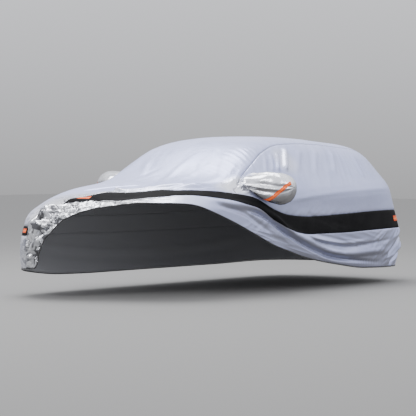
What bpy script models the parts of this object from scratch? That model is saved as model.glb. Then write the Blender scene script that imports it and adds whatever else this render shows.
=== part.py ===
"""A fitted cover for a compact five-door hatchback, with its front left corner lifted over the bonnet.

Every panel is cut from one draped surface. A place on it is named by two lengths in metres: "round", the way
round the widest line from the middle of the nose, positive on the left, and "up", the way up the cloth from the
lowest line of the hem. Sections are written as a fitter measures them, x forward from the front axle, y to the
left and h above the ground. placed() then moves all of it to the part's frame, whose origin is the rest under
the roof.
"""

import math
from collections import namedtuple
from functools import lru_cache
from itertools import combinations

import bmesh
import bpy
import numpy as np
from mathutils import Vector, noise
from mathutils.bvhtree import BVHTree

CLOTH = 0.002
SEAM_INSET = 0.0003
TAPE = 0.001
SEAM_LIFT = 0.0018
TAPE_LIFT = 0.0022
TAPE_GAP = 0.0006
BINDING_RADIUS = 0.005
ROOF_REST_X = -1.92
ROOF_REST_H = 1.478 - CLOTH
HEM_H = 0.165
WIDE_H = 0.46

# Radii of the bends of a section, at its widest line, its shoulder and its roof rail.
BENDS = (0.17, 0.07, 0.20)
CROWN = 0.45

Station = namedtuple(
    "Station",
    "hem_x hem_y wide_x wide_y shoulder_x shoulder_y shoulder_h rail_x rail_y rail_h spine_x spine_h",
)
STATIONS = (
    # The middle of the nose, round the front corner, down the left side, to the middle of the tail.
    Station(0.870, 0.000, 0.905, 0.000, 0.855, 0.000, 0.700, 0.620, 0.000, 0.850, 0.25, 0.945),
    Station(0.830, 0.360, 0.865, 0.380, 0.810, 0.370, 0.710, 0.580, 0.280, 0.868, 0.16, 0.952),
    Station(0.715, 0.690, 0.740, 0.715, 0.670, 0.680, 0.735, 0.480, 0.520, 0.905, 0.02, 0.968),
    Station(0.430, 0.845, 0.440, 0.885, 0.390, 0.865, 0.785, 0.270, 0.650, 0.955, -0.12, 0.990),
    Station(0.000, 0.875, 0.000, 0.925, -0.010, 0.905, 0.845, -0.040, 0.710, 1.005, -0.30, 1.035),
    Station(-0.480, 0.880, -0.480, 0.930, -0.490, 0.910, 0.890, -0.480, 0.720, 1.085, -0.50, 1.130),
    Station(-0.920, 0.885, -0.920, 0.930, -0.930, 0.915, 0.920, -0.860, 0.665, 1.315, -0.86, 1.370),
    Station(-1.450, 0.885, -1.450, 0.930, -1.450, 0.915, 0.935, -1.330, 0.610, 1.440, -1.33, 1.475),
    Station(-2.000, 0.885, -2.000, 0.930, -2.000, 0.915, 0.945, -1.950, 0.590, 1.455, -1.92, 1.478),
    Station(-2.600, 0.880, -2.600, 0.925, -2.580, 0.900, 0.960, -2.450, 0.575, 1.418, -2.36, 1.458),
    Station(-3.060, 0.850, -3.070, 0.885, -2.980, 0.832, 0.975, -2.830, 0.545, 1.388, -2.70, 1.430),
    Station(-3.340, 0.700, -3.370, 0.735, -3.225, 0.665, 0.990, -3.020, 0.430, 1.350, -2.88, 1.405),
    Station(-3.440, 0.380, -3.470, 0.390, -3.340, 0.360, 1.000, -3.080, 0.230, 1.325, -2.96, 1.388),
    Station(-3.470, 0.000, -3.500, 0.000, -3.370, 0.000, 1.005, -3.100, 0.000, 1.318, -2.98, 1.380),
)

# How far up the cloth each sewn line runs. The left band rides up over the bonnet with the lifted hem, and the
# right band stays down on its flank.
Line = namedtuple("Line", "round hem right_low right_high left_low left_high seam")
LINES = (
    Line(-5.70, 0.010, 0.260, 0.420, 0.540, 0.690, 0.990),
    Line(-5.25, 0.010, 0.395, 0.585, 0.640, 0.690, 0.800),
    Line(-5.10, 0.010, 0.395, 0.585, 0.594, 0.608, 0.640),
    Line(-4.95, 0.010, 0.395, 0.585, 0.680, 0.800, 1.080),
    Line(-4.70, 0.010, 0.393, 0.583, 0.740, 0.900, 1.300),
    Line(-3.80, 0.000, 0.385, 0.570, 0.740, 0.900, 1.356),
    Line(-3.12, 0.000, 0.380, 0.555, 0.730, 0.900, 1.345),
    Line(-2.77, 0.000, 0.380, 0.550, 0.710, 0.860, 1.248),
    Line(-2.37, 0.000, 0.380, 0.550, 0.670, 0.790, 1.055),
    Line(-2.04, 0.000, 0.385, 0.555, 0.620, 0.680, 0.840),
    Line(-1.50, 0.010, 0.390, 0.555, 0.650, 0.760, 0.980),
    Line(-1.00, 0.060, 0.395, 0.520, 0.680, 0.810, 1.100),
    Line(-0.75, 0.095, 0.400, 0.492, 0.720, 0.830, 1.150),
    Line(-0.60, 0.100, 0.405, 0.492, 0.760, 0.860, 1.150),
    Line(-0.44, 0.118, 0.440, 0.540, 0.840, 0.925, 1.140),
    Line(-0.29, 0.358, 0.560, 0.660, 0.885, 0.990, 1.120),
    Line(-0.15, 0.500, 0.660, 0.750, 0.900, 1.030, 1.120),
    Line(0.00, 0.687, 0.760, 0.825, 0.940, 1.070, 1.130),
    Line(0.31, 0.812, 0.860, 0.905, 0.985, 1.130, 1.210),
    Line(0.65, 0.846, 0.885, 0.920, 0.981, 1.145, 1.300),
    Line(1.07, 0.790, 0.825, 0.860, 0.910, 1.060, 1.300),
    Line(1.34, 0.732, 0.770, 0.808, 0.862, 0.980, 1.160),
    Line(1.61, 0.644, 0.690, 0.745, 0.808, 0.905, 1.030),
    Line(1.84, 0.566, 0.620, 0.680, 0.750, 0.855, 0.930),
    Line(2.04, 0.492, 0.555, 0.625, 0.697, 0.803, 0.856),
    Line(2.24, 0.412, 0.490, 0.575, 0.657, 0.752, 0.985),
    Line(2.53, 0.308, 0.380, 0.455, 0.524, 0.631, 1.137),
    Line(2.77, 0.240, 0.300, 0.365, 0.430, 0.572, 1.248),
    Line(3.12, 0.150, 0.226, 0.305, 0.380, 0.549, 1.345),
    Line(3.63, 0.065, 0.170, 0.275, 0.378, 0.560, 1.358),
    Line(4.12, 0.010, 0.135, 0.262, 0.388, 0.575, 1.352),
    Line(4.70, 0.000, 0.130, 0.262, 0.395, 0.583, 1.300),
    Line(4.95, 0.000, 0.130, 0.262, 0.395, 0.585, 1.080),
    Line(5.10, 0.005, 0.130, 0.262, 0.395, 0.585, 0.640),
    Line(5.25, 0.010, 0.130, 0.262, 0.395, 0.585, 0.800),
    Line(5.70, 0.010, 0.260, 0.420, 0.540, 0.690, 0.990),
)
ROWS_ABOVE = {"hem": 3, "right_low": 2, "right_high": 2, "left_low": 2, "left_high": 6, "seam": 6}

# Where panels start and end, as lengths round, and how many columns of the cloth lie between them.
NOSE = 0.0
LEFT_BAND_FRONT = 0.44
RIGHT_BAND_FRONT = 0.60
CRUMPLE_BACK = 0.92
SIDE_FRONT = 2.04
SIDE_BACK = 5.10
BAND_BACK = 5.25
COLUMNS_TO = {
    LEFT_BAND_FRONT: 6, RIGHT_BAND_FRONT: 2, CRUMPLE_BACK: 4, SIDE_FRONT: 11, SIDE_BACK: 27, BAND_BACK: 1,
}
TAIL_COLUMNS = 4

# Each fold runs through these places (round, up). A trough has a height below nothing.
Fold = namedtuple("Fold", "path width height")
FOLDS = {
    "hem_roll_trough": Fold(((2.34, 0.61), (2.69, 0.424), (2.93, 0.293), (3.19, 0.203), (3.96, 0.091),
                             (4.44, 0.038)), 0.075, -0.026),
    "swag_ridge": Fold(((2.46, 0.65), (2.66, 0.51), (2.89, 0.37), (3.14, 0.28), (3.44, 0.21), (3.90, 0.16)),
                       0.075, 0.022),
    "swag_trough": Fold(((2.93, 0.358), (3.42, 0.261), (3.93, 0.233), (4.63, 0.257)), 0.070, -0.018),
    "swag_roll": Fold(((2.98, 0.43), (3.42, 0.335), (3.93, 0.315), (4.70, 0.33)), 0.080, 0.014),
    "fender_ridge": Fold(((1.70, 0.66), (2.08, 0.629), (2.27, 0.558), (2.38, 0.46)), 0.055, 0.018),
    "fender_trough": Fold(((1.90, 0.70), (2.23, 0.652), (2.38, 0.584)), 0.045, -0.010),
    "corner_trough_high": Fold(((4.90, 0.25), (4.70, 0.19), (4.52, 0.152)), 0.075, -0.018),
    "corner_trough_low": Fold(((4.95, 0.14), (4.76, 0.08), (4.60, 0.04)), 0.075, -0.018),
    "bonnet_ridge": Fold(((-0.30, 1.02), (0.00, 1.11), (0.35, 1.20), (0.75, 1.22), (1.15, 1.10), (1.60, 0.97),
                          (2.00, 0.87)), 0.130, 0.026),
    "bonnet_tuck": Fold(((0.55, 1.40), (0.95, 1.36), (1.35, 1.24), (1.75, 1.10), (2.05, 0.98)), 0.090, -0.012),
    "door_ripple_front": Fold(((3.34, 1.27), (3.22, 1.15), (3.10, 1.00)), 0.070, 0.009),
    "door_ripple": Fold(((3.62, 1.29), (3.46, 1.12), (3.32, 0.95)), 0.080, 0.009),
    "rear_door_ripple": Fold(((3.92, 1.29), (3.72, 1.10), (3.55, 0.92)), 0.080, 0.009),
    "quarter_ripple": Fold(((4.30, 1.25), (4.08, 1.08), (3.88, 0.92)), 0.080, 0.009),
    "screen_drape_left": Fold(((2.42, 1.66), (1.92, 1.60), (1.42, 1.54)), 0.090, 0.008),
    "screen_drape_right": Fold(((-2.32, 1.41), (-1.90, 1.42), (-1.44, 1.38)), 0.090, 0.008),
    "right_flank_swag": Fold(((-1.20, 0.30), (-2.20, 0.20), (-3.40, 0.19), (-4.50, 0.27)), 0.080, -0.012),
    "right_flank_roll": Fold(((-1.30, 0.22), (-2.20, 0.12), (-3.40, 0.11), (-4.40, 0.17)), 0.070, 0.012),
    "right_door_ripple": Fold(((-3.40, 1.27), (-3.26, 1.10), (-3.14, 0.95)), 0.080, 0.009),
    "right_quarter_ripple": Fold(((-4.05, 1.27), (-3.86, 1.10), (-3.70, 0.95)), 0.080, 0.009),
    "tailgate_drape": Fold(((5.55, 0.95), (5.35, 0.70), (5.30, 0.40)), 0.090, 0.010),
    "tailgate_drape_right": Fold(((-5.50, 1.00), (-5.32, 0.72), (-5.35, 0.38)), 0.090, 0.010),
}
FOLD_SAMPLES = 120
FOLD_FADE = 0.2
SPINE_FADE = 0.10

# The pushed-up cloth at the front right corner stands in sharp facets.
CRUMPLE_CELL = 0.17
CRUMPLE_HEIGHT = 0.030
CRUMPLE_LEVEL = 0.30
CRUMPLE_RIGHT = (-0.95, -0.70)
CRUMPLE_LEFT = (0.05, 0.55)
CRUMPLE_TOP = (0.86, 1.05)

# The mirror pockets. The left one is dragged back with the lifted cloth. side is 1 on the left, -1 on the right.
Pocket = namedtuple("Pocket", "side round back_share")
POCKETS = {"left": Pocket(1, 2.42, 1.0), "right": Pocket(-1, 2.31, 0.5)}
POCKET_UP = 0.880

# A pocket's rim, which is sewn round a hole in the side panel, and its rings from there to the closed tip.
# rim_share is how far a ring still leans with the panel.
Ring = namedtuple("Ring", "out front_reach back_reach half_height lift back rim_share")
POCKET_RIM = Ring(0.000, 0.235, 0.160, 0.135, 0.000, 0.000, 1.0)
POCKET_RINGS = (
    Ring(0.035, 0.200, 0.150, 0.140, -0.012, 0.010, 0.75),
    Ring(0.090, 0.155, 0.135, 0.154, -0.028, 0.035, 0.40),
    Ring(0.155, 0.125, 0.125, 0.154, -0.036, 0.070, 0.12),
    Ring(0.220, 0.108, 0.110, 0.137, -0.040, 0.100, 0.0),
    Ring(0.275, 0.075, 0.080, 0.095, -0.034, 0.120, 0.0),
    Ring(0.300, 0.030, 0.032, 0.038, -0.030, 0.125, 0.0),
)
POCKET_SIDES = 24
POCKET_STEPS = 10
POCKET_HOLE_SHARE = 0.88
PLEAT_COUNT = 5
PLEAT_DEPTH = 0.007

# Reflective tapes on the cloth, by the places of their two ends, and on the pockets.
Tape = namedtuple("Tape", "on start end width")
TAPES = {
    "reflector_front_left": Tape("band_left", (-0.31, 0.933), (-0.13, 0.970), 0.040),
    "reflector_front_right": Tape("band_right", (-0.74, 0.447), (-0.63, 0.449), 0.040),
    "reflector_rear_left": Tape("band_left", (4.66, 0.492), (4.93, 0.494), 0.056),
    "reflector_rear_right": Tape("band_right", (-4.66, 0.492), (-4.93, 0.494), 0.056),
}
TAPE_STEPS = 5
TAPE_ROWS = 4
POCKET_TAPE_WIDTH = 0.033
POCKET_TAPE_PATH = ((-60.0, 0.30), (-50.0, 0.41), (-31.0, 0.54), (-8.0, 0.69), (18.0, 0.83), (48.0, 0.91))
POCKET_TAPE_STEPS = 28

SILVER = (0.600, 0.605, 0.660)
SHINY_SILVER = (0.640, 0.650, 0.690)
BLACK = (0.014, 0.014, 0.017)
ORANGE = (0.900, 0.180, 0.030)

SECTION_SAMPLES = 40
STRAIGHT_SAMPLES = 12
BEND_SAMPLES = 16
CROWN_SAMPLES = 24
PROBE = 0.05


def clear_scene():
    for leftover in list(bpy.data.objects):
        bpy.data.objects.remove(leftover, do_unlink=True)


def placed(point):
    """A point measured from the front axle and the ground, in the part's frame."""
    return np.asarray(point) - (ROOF_REST_X, 0.0, ROOF_REST_H)


def smooth_through(values, at):
    """The natural cubic through values that stand at 0, 1, 2 and so on, read at each number in at."""
    count = len(values)
    system = np.eye(count)
    bends = np.zeros_like(values)
    for i in range(1, count - 1):
        system[i, i - 1:i + 2] = (1, 4, 1)
        bends[i] = 6 * (values[i - 1] - 2 * values[i] + values[i + 1])
    bends = np.linalg.solve(system, bends.reshape(count, -1)).reshape(values.shape)
    low = np.clip(np.floor(at).astype(int), 0, count - 2)
    t = (at - low).reshape(-1, *[1] * (values.ndim - 1))
    s = 1 - t
    straight = s * values[low] + t * values[low + 1]
    return straight + ((s ** 3 - s) * bends[low] + (t ** 3 - t) * bends[low + 1]) / 6


def held_line(knots, values, at):
    """A smooth line through the knots that never swings past them, and runs level beyond its ends."""
    knots, values = np.asarray(knots), np.asarray(values)
    at = np.clip(at, knots[0], knots[-1])
    step = np.diff(knots)
    rise = np.diff(values) / step
    slope = np.zeros_like(values)
    same = rise[:-1] * rise[1:] > 0
    before = (2 * step[1:] + step[:-1])[same]
    after = (step[1:] + 2 * step[:-1])[same]
    slope[1:-1][same] = (before + after) / (before / rise[:-1][same] + after / rise[1:][same])
    i = np.clip(np.searchsorted(knots, at, side="right") - 1, 0, len(knots) - 2)
    t = (at - knots[i]) / step[i]
    start = (1 + 2 * t) * (1 - t) ** 2 * values[i] + t * (1 - t) ** 2 * step[i] * slope[i]
    end = t * t * (3 - 2 * t) * values[i + 1] - t * t * (1 - t) * step[i] * slope[i + 1]
    return start + end


def eased(value, low, high):
    t = np.clip((value - low) / (high - low), 0.0, 1.0)
    return t * t * (3 - 2 * t)


def section_keys(number):
    """The five key points of the sections at these station numbers, the cloth being even about its middle."""
    keys = np.array([
        [(s.hem_x, s.hem_y, HEM_H), (s.wide_x, s.wide_y, WIDE_H), (s.shoulder_x, s.shoulder_y, s.shoulder_h),
         (s.rail_x, s.rail_y, s.rail_h), (s.spine_x, 0.0, s.spine_h)]
        for s in STATIONS
    ])
    other_side = keys * (1, -1, 1)
    run = np.concatenate([other_side[2:0:-1], keys, other_side[-2:-4:-1]])
    return smooth_through(run, np.atleast_1d(number) + 2.0)


STATION_NUMBERS = np.linspace(0, len(STATIONS) - 1, (len(STATIONS) - 1) * SECTION_SAMPLES + 1)
WIDE_LINE = section_keys(STATION_NUMBERS)[:, 1]
WIDE_STEPS = np.linalg.norm(np.diff(WIDE_LINE, axis=0), axis=1)
STATION_ROUNDS = np.concatenate([[0.0], np.cumsum(WIDE_STEPS)])
TAIL = float(STATION_ROUNDS[-1])


@lru_cache(maxsize=None)
def section(length_round):
    """The left section at a length round: points from the hem to the spine, and their lengths up the cloth."""
    keys = section_keys(np.interp(length_round, STATION_ROUNDS, STATION_NUMBERS))[0]
    runs = []
    start = keys[0]
    for (below, bend, above), radius in zip(zip(keys, keys[1:], keys[2:]), BENDS):
        down, onward = below - bend, above - bend
        radius = min(radius, 0.48 * np.linalg.norm(down), 0.48 * np.linalg.norm(onward))
        enter = bend + down / np.linalg.norm(down) * radius
        leave = bend + onward / np.linalg.norm(onward) * radius
        t = np.linspace(0, 1, BEND_SAMPLES)[:, None]
        runs.append(np.linspace(start, enter, STRAIGHT_SAMPLES)[:-1])
        runs.append(((1 - t) ** 2 * enter + 2 * t * (1 - t) * bend + t * t * leave)[:-1])
        start = leave
    rail, spine = keys[3], keys[4]
    level = (spine - rail) * (1, 1, 0)
    reach = np.linalg.norm(spine - start) / np.linalg.norm(spine - rail)
    crown = spine - level * CROWN * reach
    t = np.linspace(0, 1, CROWN_SAMPLES)[:, None]
    runs.append((1 - t) ** 2 * start + 2 * t * (1 - t) * crown + t * t * spine)
    points = np.concatenate(runs)
    lengths = np.concatenate([[0.0], np.cumsum(np.linalg.norm(np.diff(points, axis=0), axis=1))])
    return points, lengths


def draped(length_round, up):
    """Points of the smooth cloth at one length round and the lengths up in up."""
    points, lengths = section(round(abs(length_round), 6))
    found = np.stack([np.interp(up, lengths, points[:, axis]) for axis in range(3)], axis=-1)
    return found * (1, -1 if length_round < 0 else 1, 1)


def girth(length_round):
    return section(round(abs(length_round), 6))[1][-1]


def column_rounds():
    """The lengths round of the cloth's columns, from the tail's middle past the right side and the nose."""
    half = [NOSE]
    for end, count in {**COLUMNS_TO, TAIL: TAIL_COLUMNS}.items():
        half.extend(np.linspace(half[-1], end, count + 1)[1:])
    return np.array([-r for r in half[:0:-1]] + half)


def row_heights(rounds):
    """The lengths up of every row at each column, and the row that each sewn line is."""
    knots = [line.round for line in LINES]
    lines = [held_line(knots, [getattr(line, name) for line in LINES], rounds) for name in ROWS_ABOVE]
    lines.append(np.array([girth(r) for r in rounds]))
    rows, row_of = [lines[0]], {"hem": 0}
    for low, high, (name, count) in zip(lines, lines[1:], ROWS_ABOVE.items()):
        row_of[name] = len(rows) - 1
        rows.extend(low + (high - low) * step / count for step in range(1, count + 1))
    return np.stack(rows, axis=1), row_of


def fold_heights(rounds, ups):
    """How far the folds stand out from the smooth cloth at each place."""
    heights = np.zeros(ups.shape)
    across = np.broadcast_to(rounds[:, None], ups.shape)
    for fold in FOLDS.values():
        path = smooth_through(np.array(fold.path), np.linspace(0, len(fold.path) - 1, FOLD_SAMPLES))
        gaps = np.hypot(across[..., None] - path[:, 0], ups[..., None] - path[:, 1])
        along = np.argmin(gaps, axis=-1) / (FOLD_SAMPLES - 1)
        near = np.clip(np.min(gaps, axis=-1) / fold.width, 0, 1)
        ends = eased(along, -0.02, FOLD_FADE) * eased(1 - along, -0.02, FOLD_FADE)
        heights += fold.height * np.cos(near * math.pi / 2) ** 2 * ends
    return heights


def crumple_heights(rounds, ups, points):
    """The facets of the cloth that is pushed up at the front right corner."""
    across = np.broadcast_to(rounds[:, None], ups.shape)
    share = eased(across, *CRUMPLE_RIGHT) * (1 - eased(across, *CRUMPLE_LEFT))
    share *= 1 - eased(ups, *CRUMPLE_TOP)
    heights = np.zeros(ups.shape)
    for place in np.argwhere(share > 0):
        spot = Vector(points[tuple(place)]) / CRUMPLE_CELL
        nearest, second = noise.voronoi(spot)[0][:2]
        heights[tuple(place)] = CRUMPLE_HEIGHT * (second - nearest - CRUMPLE_LEVEL) * share[tuple(place)]
    return heights


def joined(values):
    """The same values with each pair of places that meets, over the spine or at the tail, made alike."""
    values[:, -1] = (values[:, -1] + values[::-1, -1]) / 2
    values[0] = values[-1] = (values[0] + values[-1]) / 2
    return values


def outward(points):
    """Unit normals of the grid. Where the nose and the tail meet the spine, the row below gives them."""
    normals = np.cross(np.gradient(points, axis=0), np.gradient(points, axis=1))
    for column in (0, len(points) // 2, -1):
        normals[column, -1] = normals[column, -2]
    normals = joined(normals / np.linalg.norm(normals, axis=-1, keepdims=True))
    return normals / np.linalg.norm(normals, axis=-1, keepdims=True)


ROUNDS = column_rounds()
UPS, ROW_OF = row_heights(ROUNDS)
SMOOTH = np.array([draped(r, up) for r, up in zip(ROUNDS, UPS)])
SPINE_SHARE = eased(UPS[:, -1:] - UPS, 0.0, SPINE_FADE)
STANDS_OUT = joined((fold_heights(ROUNDS, UPS) + crumple_heights(ROUNDS, UPS, SMOOTH)) * SPINE_SHARE)
DRAPED = SMOOTH + outward(SMOOTH) * STANDS_OUT[..., None]
OUTWARD = outward(DRAPED)


def pocket_share(pocket, length_round, up):
    """1 on a pocket's sewn rim, and less inside it."""
    ahead = pocket.round - pocket.side * length_round
    reach = POCKET_RIM.front_reach if ahead > 0 else POCKET_RIM.back_reach
    return math.hypot(ahead / reach, (up - POCKET_UP) / POCKET_RIM.half_height)


def pocket_hole(pocket):
    """The largest block of whole cells within a pocket's rim, cut out of its side panel for the mirror."""
    shares = np.array([[pocket_share(pocket, r, up) for up in ups] for r, ups in zip(ROUNDS, UPS)])
    inside = shares < POCKET_HOLE_SHARE
    cells = inside[:-1, :-1] & inside[1:, :-1] & inside[:-1, 1:] & inside[1:, 1:]
    row_spans = combinations(range(cells.shape[1] + 1), 2)
    low, high = max(row_spans, key=lambda span: cells[:, slice(*span)].all(axis=1).sum() * (span[1] - span[0]))
    hole = np.zeros(cells.shape, bool)
    hole[:, low:high] = cells[:, low:high].all(axis=1)[:, None]
    return hole


MIRROR_HOLES = pocket_hole(POCKETS["left"]) | pocket_hole(POCKETS["right"])


def panel_at(i, j):
    """The name of the panel that has the cell between columns i and i + 1 and rows j and j + 1."""
    middle = (ROUNDS[i] + ROUNDS[i + 1]) / 2
    left = middle > 0
    side = "left" if left else "right"
    if MIRROR_HOLES[i, j]:
        return "hole"
    if -LEFT_BAND_FRONT < middle < BAND_BACK and ROW_OF["left_low"] <= j < ROW_OF["left_high"]:
        return "band_left"
    if -BAND_BACK < middle < -RIGHT_BAND_FRONT and ROW_OF["right_low"] <= j < ROW_OF["right_high"]:
        return "band_right"
    band_top = ROW_OF["left_high" if left else "right_high"]
    band_foot = ROW_OF["left_low" if left else "right_low"]
    if SIDE_FRONT < abs(middle) < SIDE_BACK and band_top <= j < ROW_OF["seam"]:
        return "side_" + side
    skirt_front = LEFT_BAND_FRONT if left else RIGHT_BAND_FRONT
    if skirt_front < abs(middle) < BAND_BACK and j < band_foot:
        return "skirt_" + side
    return "top_panel"


PANEL_AT = np.array([[panel_at(i, j) for j in range(UPS.shape[1] - 1)] for i in range(len(ROUNDS) - 1)])


def seam_steps(name):
    """The way that each place of the panel's edge moves in from its seam, in columns and in rows."""
    has = (PANEL_AT == name).astype(int)
    has = np.concatenate([has[-1:], has, has[:1]])
    has = np.concatenate([np.zeros((len(has), 1), int), has, has[:, -1:]], axis=1)
    ahead = has[1:, :-1] + has[1:, 1:] - has[:-1, :-1] - has[:-1, 1:]
    above = has[:-1, 1:] + has[1:, 1:] - has[:-1, :-1] - has[1:, :-1]
    return np.sign(ahead), np.sign(above)


def unit_steps(points):
    """Unit vectors along the columns and along the rows of the grid."""
    steps = [np.gradient(points, axis=axis) for axis in (0, 1)]
    return [step / np.maximum(np.linalg.norm(step, axis=-1, keepdims=True), 1e-9) for step in steps]


def new_material(name, colour, roughness, metallic=0.0):
    material = bpy.data.materials.new(name)
    material.use_nodes = True
    shader = material.node_tree.nodes["Principled BSDF"]
    shader.inputs["Base Color"].default_value = (*colour, 1.0)
    shader.inputs["Roughness"].default_value = roughness
    shader.inputs["Metallic"].default_value = metallic
    return material


def new_object(name, bm, colour, roughness, metallic=0.0):
    mesh = bpy.data.meshes.new(name)
    bmesh.ops.recalc_face_normals(bm, faces=bm.faces)
    bm.to_mesh(mesh)
    bm.free()
    mesh.shade_smooth()
    item = bpy.data.objects.new(name, mesh)
    mesh.materials.append(new_material(name + "_cloth", colour, roughness, metallic))
    bpy.context.collection.objects.link(item)
    return item


def thickened(bm, outer, inner, place, cap=()):
    """Closes a sheet into a solid. outer and inner give a vertex its two positions, by its place's number."""
    for vertex in bm.verts:
        vertex.co = outer[vertex[place]]
    if cap:
        bmesh.ops.remove_doubles(bm, verts=bm.verts, dist=1e-6)
        bmesh.ops.contextual_create(bm, geom=[edge for edge in cap if edge.is_valid])
    bmesh.ops.remove_doubles(bm, verts=bm.verts, dist=1e-6)
    made = bmesh.ops.extrude_face_region(bm, geom=bm.faces[:], use_keep_orig=True)
    for item in made["geom"]:
        if isinstance(item, bmesh.types.BMVert):
            item.co = inner[item[place]]


def sheet_grid(columns, rows):
    """A flat grid of cells whose vertices carry the number of their place, and the layer that holds it."""
    bm = bmesh.new()
    place = bm.verts.layers.int.new("place")
    bmesh.ops.create_grid(bm, x_segments=columns, y_segments=rows, size=0.5)
    for vertex in bm.verts:
        i = round((vertex.co.x + 0.5) * columns)
        j = round((vertex.co.y + 0.5) * rows)
        vertex[place] = i * (rows + 1) + j
    return bm, place


def cut_panel(name, colour, roughness, metallic=0.0):
    """One panel of the cover, cut from the draped cloth along its seams."""
    columns, rows = PANEL_AT.shape
    bm, place = sheet_grid(columns, rows)
    waste = []
    for face in bm.faces:
        centre = face.calc_center_median()
        i, j = int((centre.x + 0.5) * columns), int((centre.y + 0.5) * rows)
        if PANEL_AT[i, j] != name:
            waste.append(face)
    bmesh.ops.delete(bm, geom=waste, context="FACES")
    ahead, above = seam_steps(name)
    along, upward = unit_steps(DRAPED)
    outer = DRAPED + (along * ahead[..., None] + upward * above[..., None]) * SEAM_INSET
    inner = outer - OUTWARD * CLOTH
    thickened(bm, placed(outer).reshape(-1, 3), placed(inner).reshape(-1, 3), place)
    bmesh.ops.triangulate(bm, faces=bm.faces)
    return new_object(name, bm, colour, roughness, metallic)


def outside_of(item):
    bm = bmesh.new()
    bm.from_mesh(item.data)
    tree = BVHTree.FromBMesh(bm)
    bm.free()
    return tree


def seated(tree, spot, normal, lift):
    """The point where a piece lies under or over a spot, found along the normal, and lifted clear of it."""
    start = placed(spot) + normal * PROBE
    hit = tree.ray_cast(Vector(start), Vector(-normal), 2 * PROBE)[0]
    if hit is None:
        hit = tree.find_nearest(Vector(placed(spot)))[0]
    return np.array(hit) + normal * lift


def cloth_at(length_round, up):
    """The smooth cloth's point and outward normal at one place."""
    reach = 0.01
    along = draped(length_round + reach, up) - draped(length_round - reach, up)
    upward = draped(length_round, up + reach) - draped(length_round, up - reach)
    normal = np.cross(along, upward)
    return draped(length_round, up), normal / np.linalg.norm(normal)


def pocket_rim(pocket, angle, inset=0.0):
    """A point of a pocket's rim and its normal. The angle is in degrees, from straight ahead turning upward."""
    ahead, above = math.cos(math.radians(angle)), math.sin(math.radians(angle))
    reach = POCKET_RIM.front_reach if ahead > 0 else POCKET_RIM.back_reach
    length_round = pocket.round - (reach - inset) * ahead
    return cloth_at(pocket.side * length_round, POCKET_UP + (POCKET_RIM.half_height - inset) * above)


def pocket_rings(pocket, angle):
    """The points of a pocket's rim and rings at one angle."""
    middle = cloth_at(pocket.side * pocket.round, POCKET_UP)[0]
    rim = pocket_rim(pocket, angle)[0]
    ahead, above = math.cos(math.radians(angle)), math.sin(math.radians(angle))
    pleat = PLEAT_DEPTH * max(0.0, ahead) ** 2 * math.cos(math.radians(angle) * 2 * PLEAT_COUNT)
    points = [rim]
    for ring in POCKET_RINGS:
        reach = ring.front_reach if ahead > 0 else ring.back_reach
        fold = pleat * (1 - ring.out / POCKET_RINGS[-1].out)
        forward = (reach + fold) * ahead - ring.back * pocket.back_share
        upward = (ring.half_height + fold) * above + ring.lift
        lean = (rim - middle - (forward, 0.0, upward)) * ring.rim_share
        points.append(middle + (forward, pocket.side * ring.out, upward) + lean)
    return np.array(points)


def pocket_at(pocket, angle, share):
    """A point of a pocket's smooth outside, share of the way from its rim to its tip."""
    return smooth_through(pocket_rings(pocket, angle), np.array([share * len(POCKET_RINGS)]))[0]


def grid_normals(points):
    """Unit normals of a tube's grid of points, whose first and last columns are the same."""
    around = (np.roll(points[:-1], -1, axis=0) - np.roll(points[:-1], 1, axis=0))
    normals = np.cross(np.concatenate([around, around[:1]]), np.gradient(points, axis=1))
    return normals / np.linalg.norm(normals, axis=-1, keepdims=True)


def new_pocket(name, pocket, panel):
    """A mirror pocket: a closed sleeve of cloth that bellies out over the hole in its side panel."""
    tree = outside_of(panel)
    angles = [-360 * pocket.side * turn / POCKET_SIDES for turn in range(POCKET_SIDES)] + [0.0]
    steps = np.linspace(0, len(POCKET_RINGS), POCKET_STEPS + 1)
    outer = np.array([smooth_through(pocket_rings(pocket, angle), steps) for angle in angles])
    inner = outer - grid_normals(outer) * CLOTH
    outer, inner = placed(outer), placed(inner)
    for column, angle in enumerate(angles):
        outer[column, 0] = seated(tree, *pocket_rim(pocket, angle), SEAM_LIFT)
        inner[column, 0] = seated(tree, *pocket_rim(pocket, angle, inset=CLOTH), SEAM_LIFT)
    bm, place = sheet_grid(POCKET_SIDES, POCKET_STEPS)
    tip = [
        edge for edge in bm.edges
        if all(vertex[place] % (POCKET_STEPS + 1) == POCKET_STEPS for vertex in edge.verts)
    ]
    thickened(bm, outer.reshape(-1, 3), inner.reshape(-1, 3), place, cap=tip)
    bmesh.ops.triangulate(bm, faces=bm.faces)
    return new_object(name, bm, SHINY_SILVER, 0.30, 0.60)


def with_halves(grid, axis):
    """The grid with the points halfway between its own added along one axis."""
    grid = np.moveaxis(grid, axis, 0)
    closer = np.empty((2 * len(grid) - 1, *grid.shape[1:]))
    closer[::2] = grid
    closer[1::2] = (grid[1:] + grid[:-1]) / 2
    return np.moveaxis(closer, 0, axis)


def gap_under(tree, grid):
    """The smallest gap from a sheet's grid to the piece under it, read at and between the grid's points."""
    for axis in (0, 1, 0, 1, 0, 1):
        grid = with_halves(grid, axis)
    return min(tree.find_nearest(Vector(spot))[3] for spot in grid.reshape(-1, 3))


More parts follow.
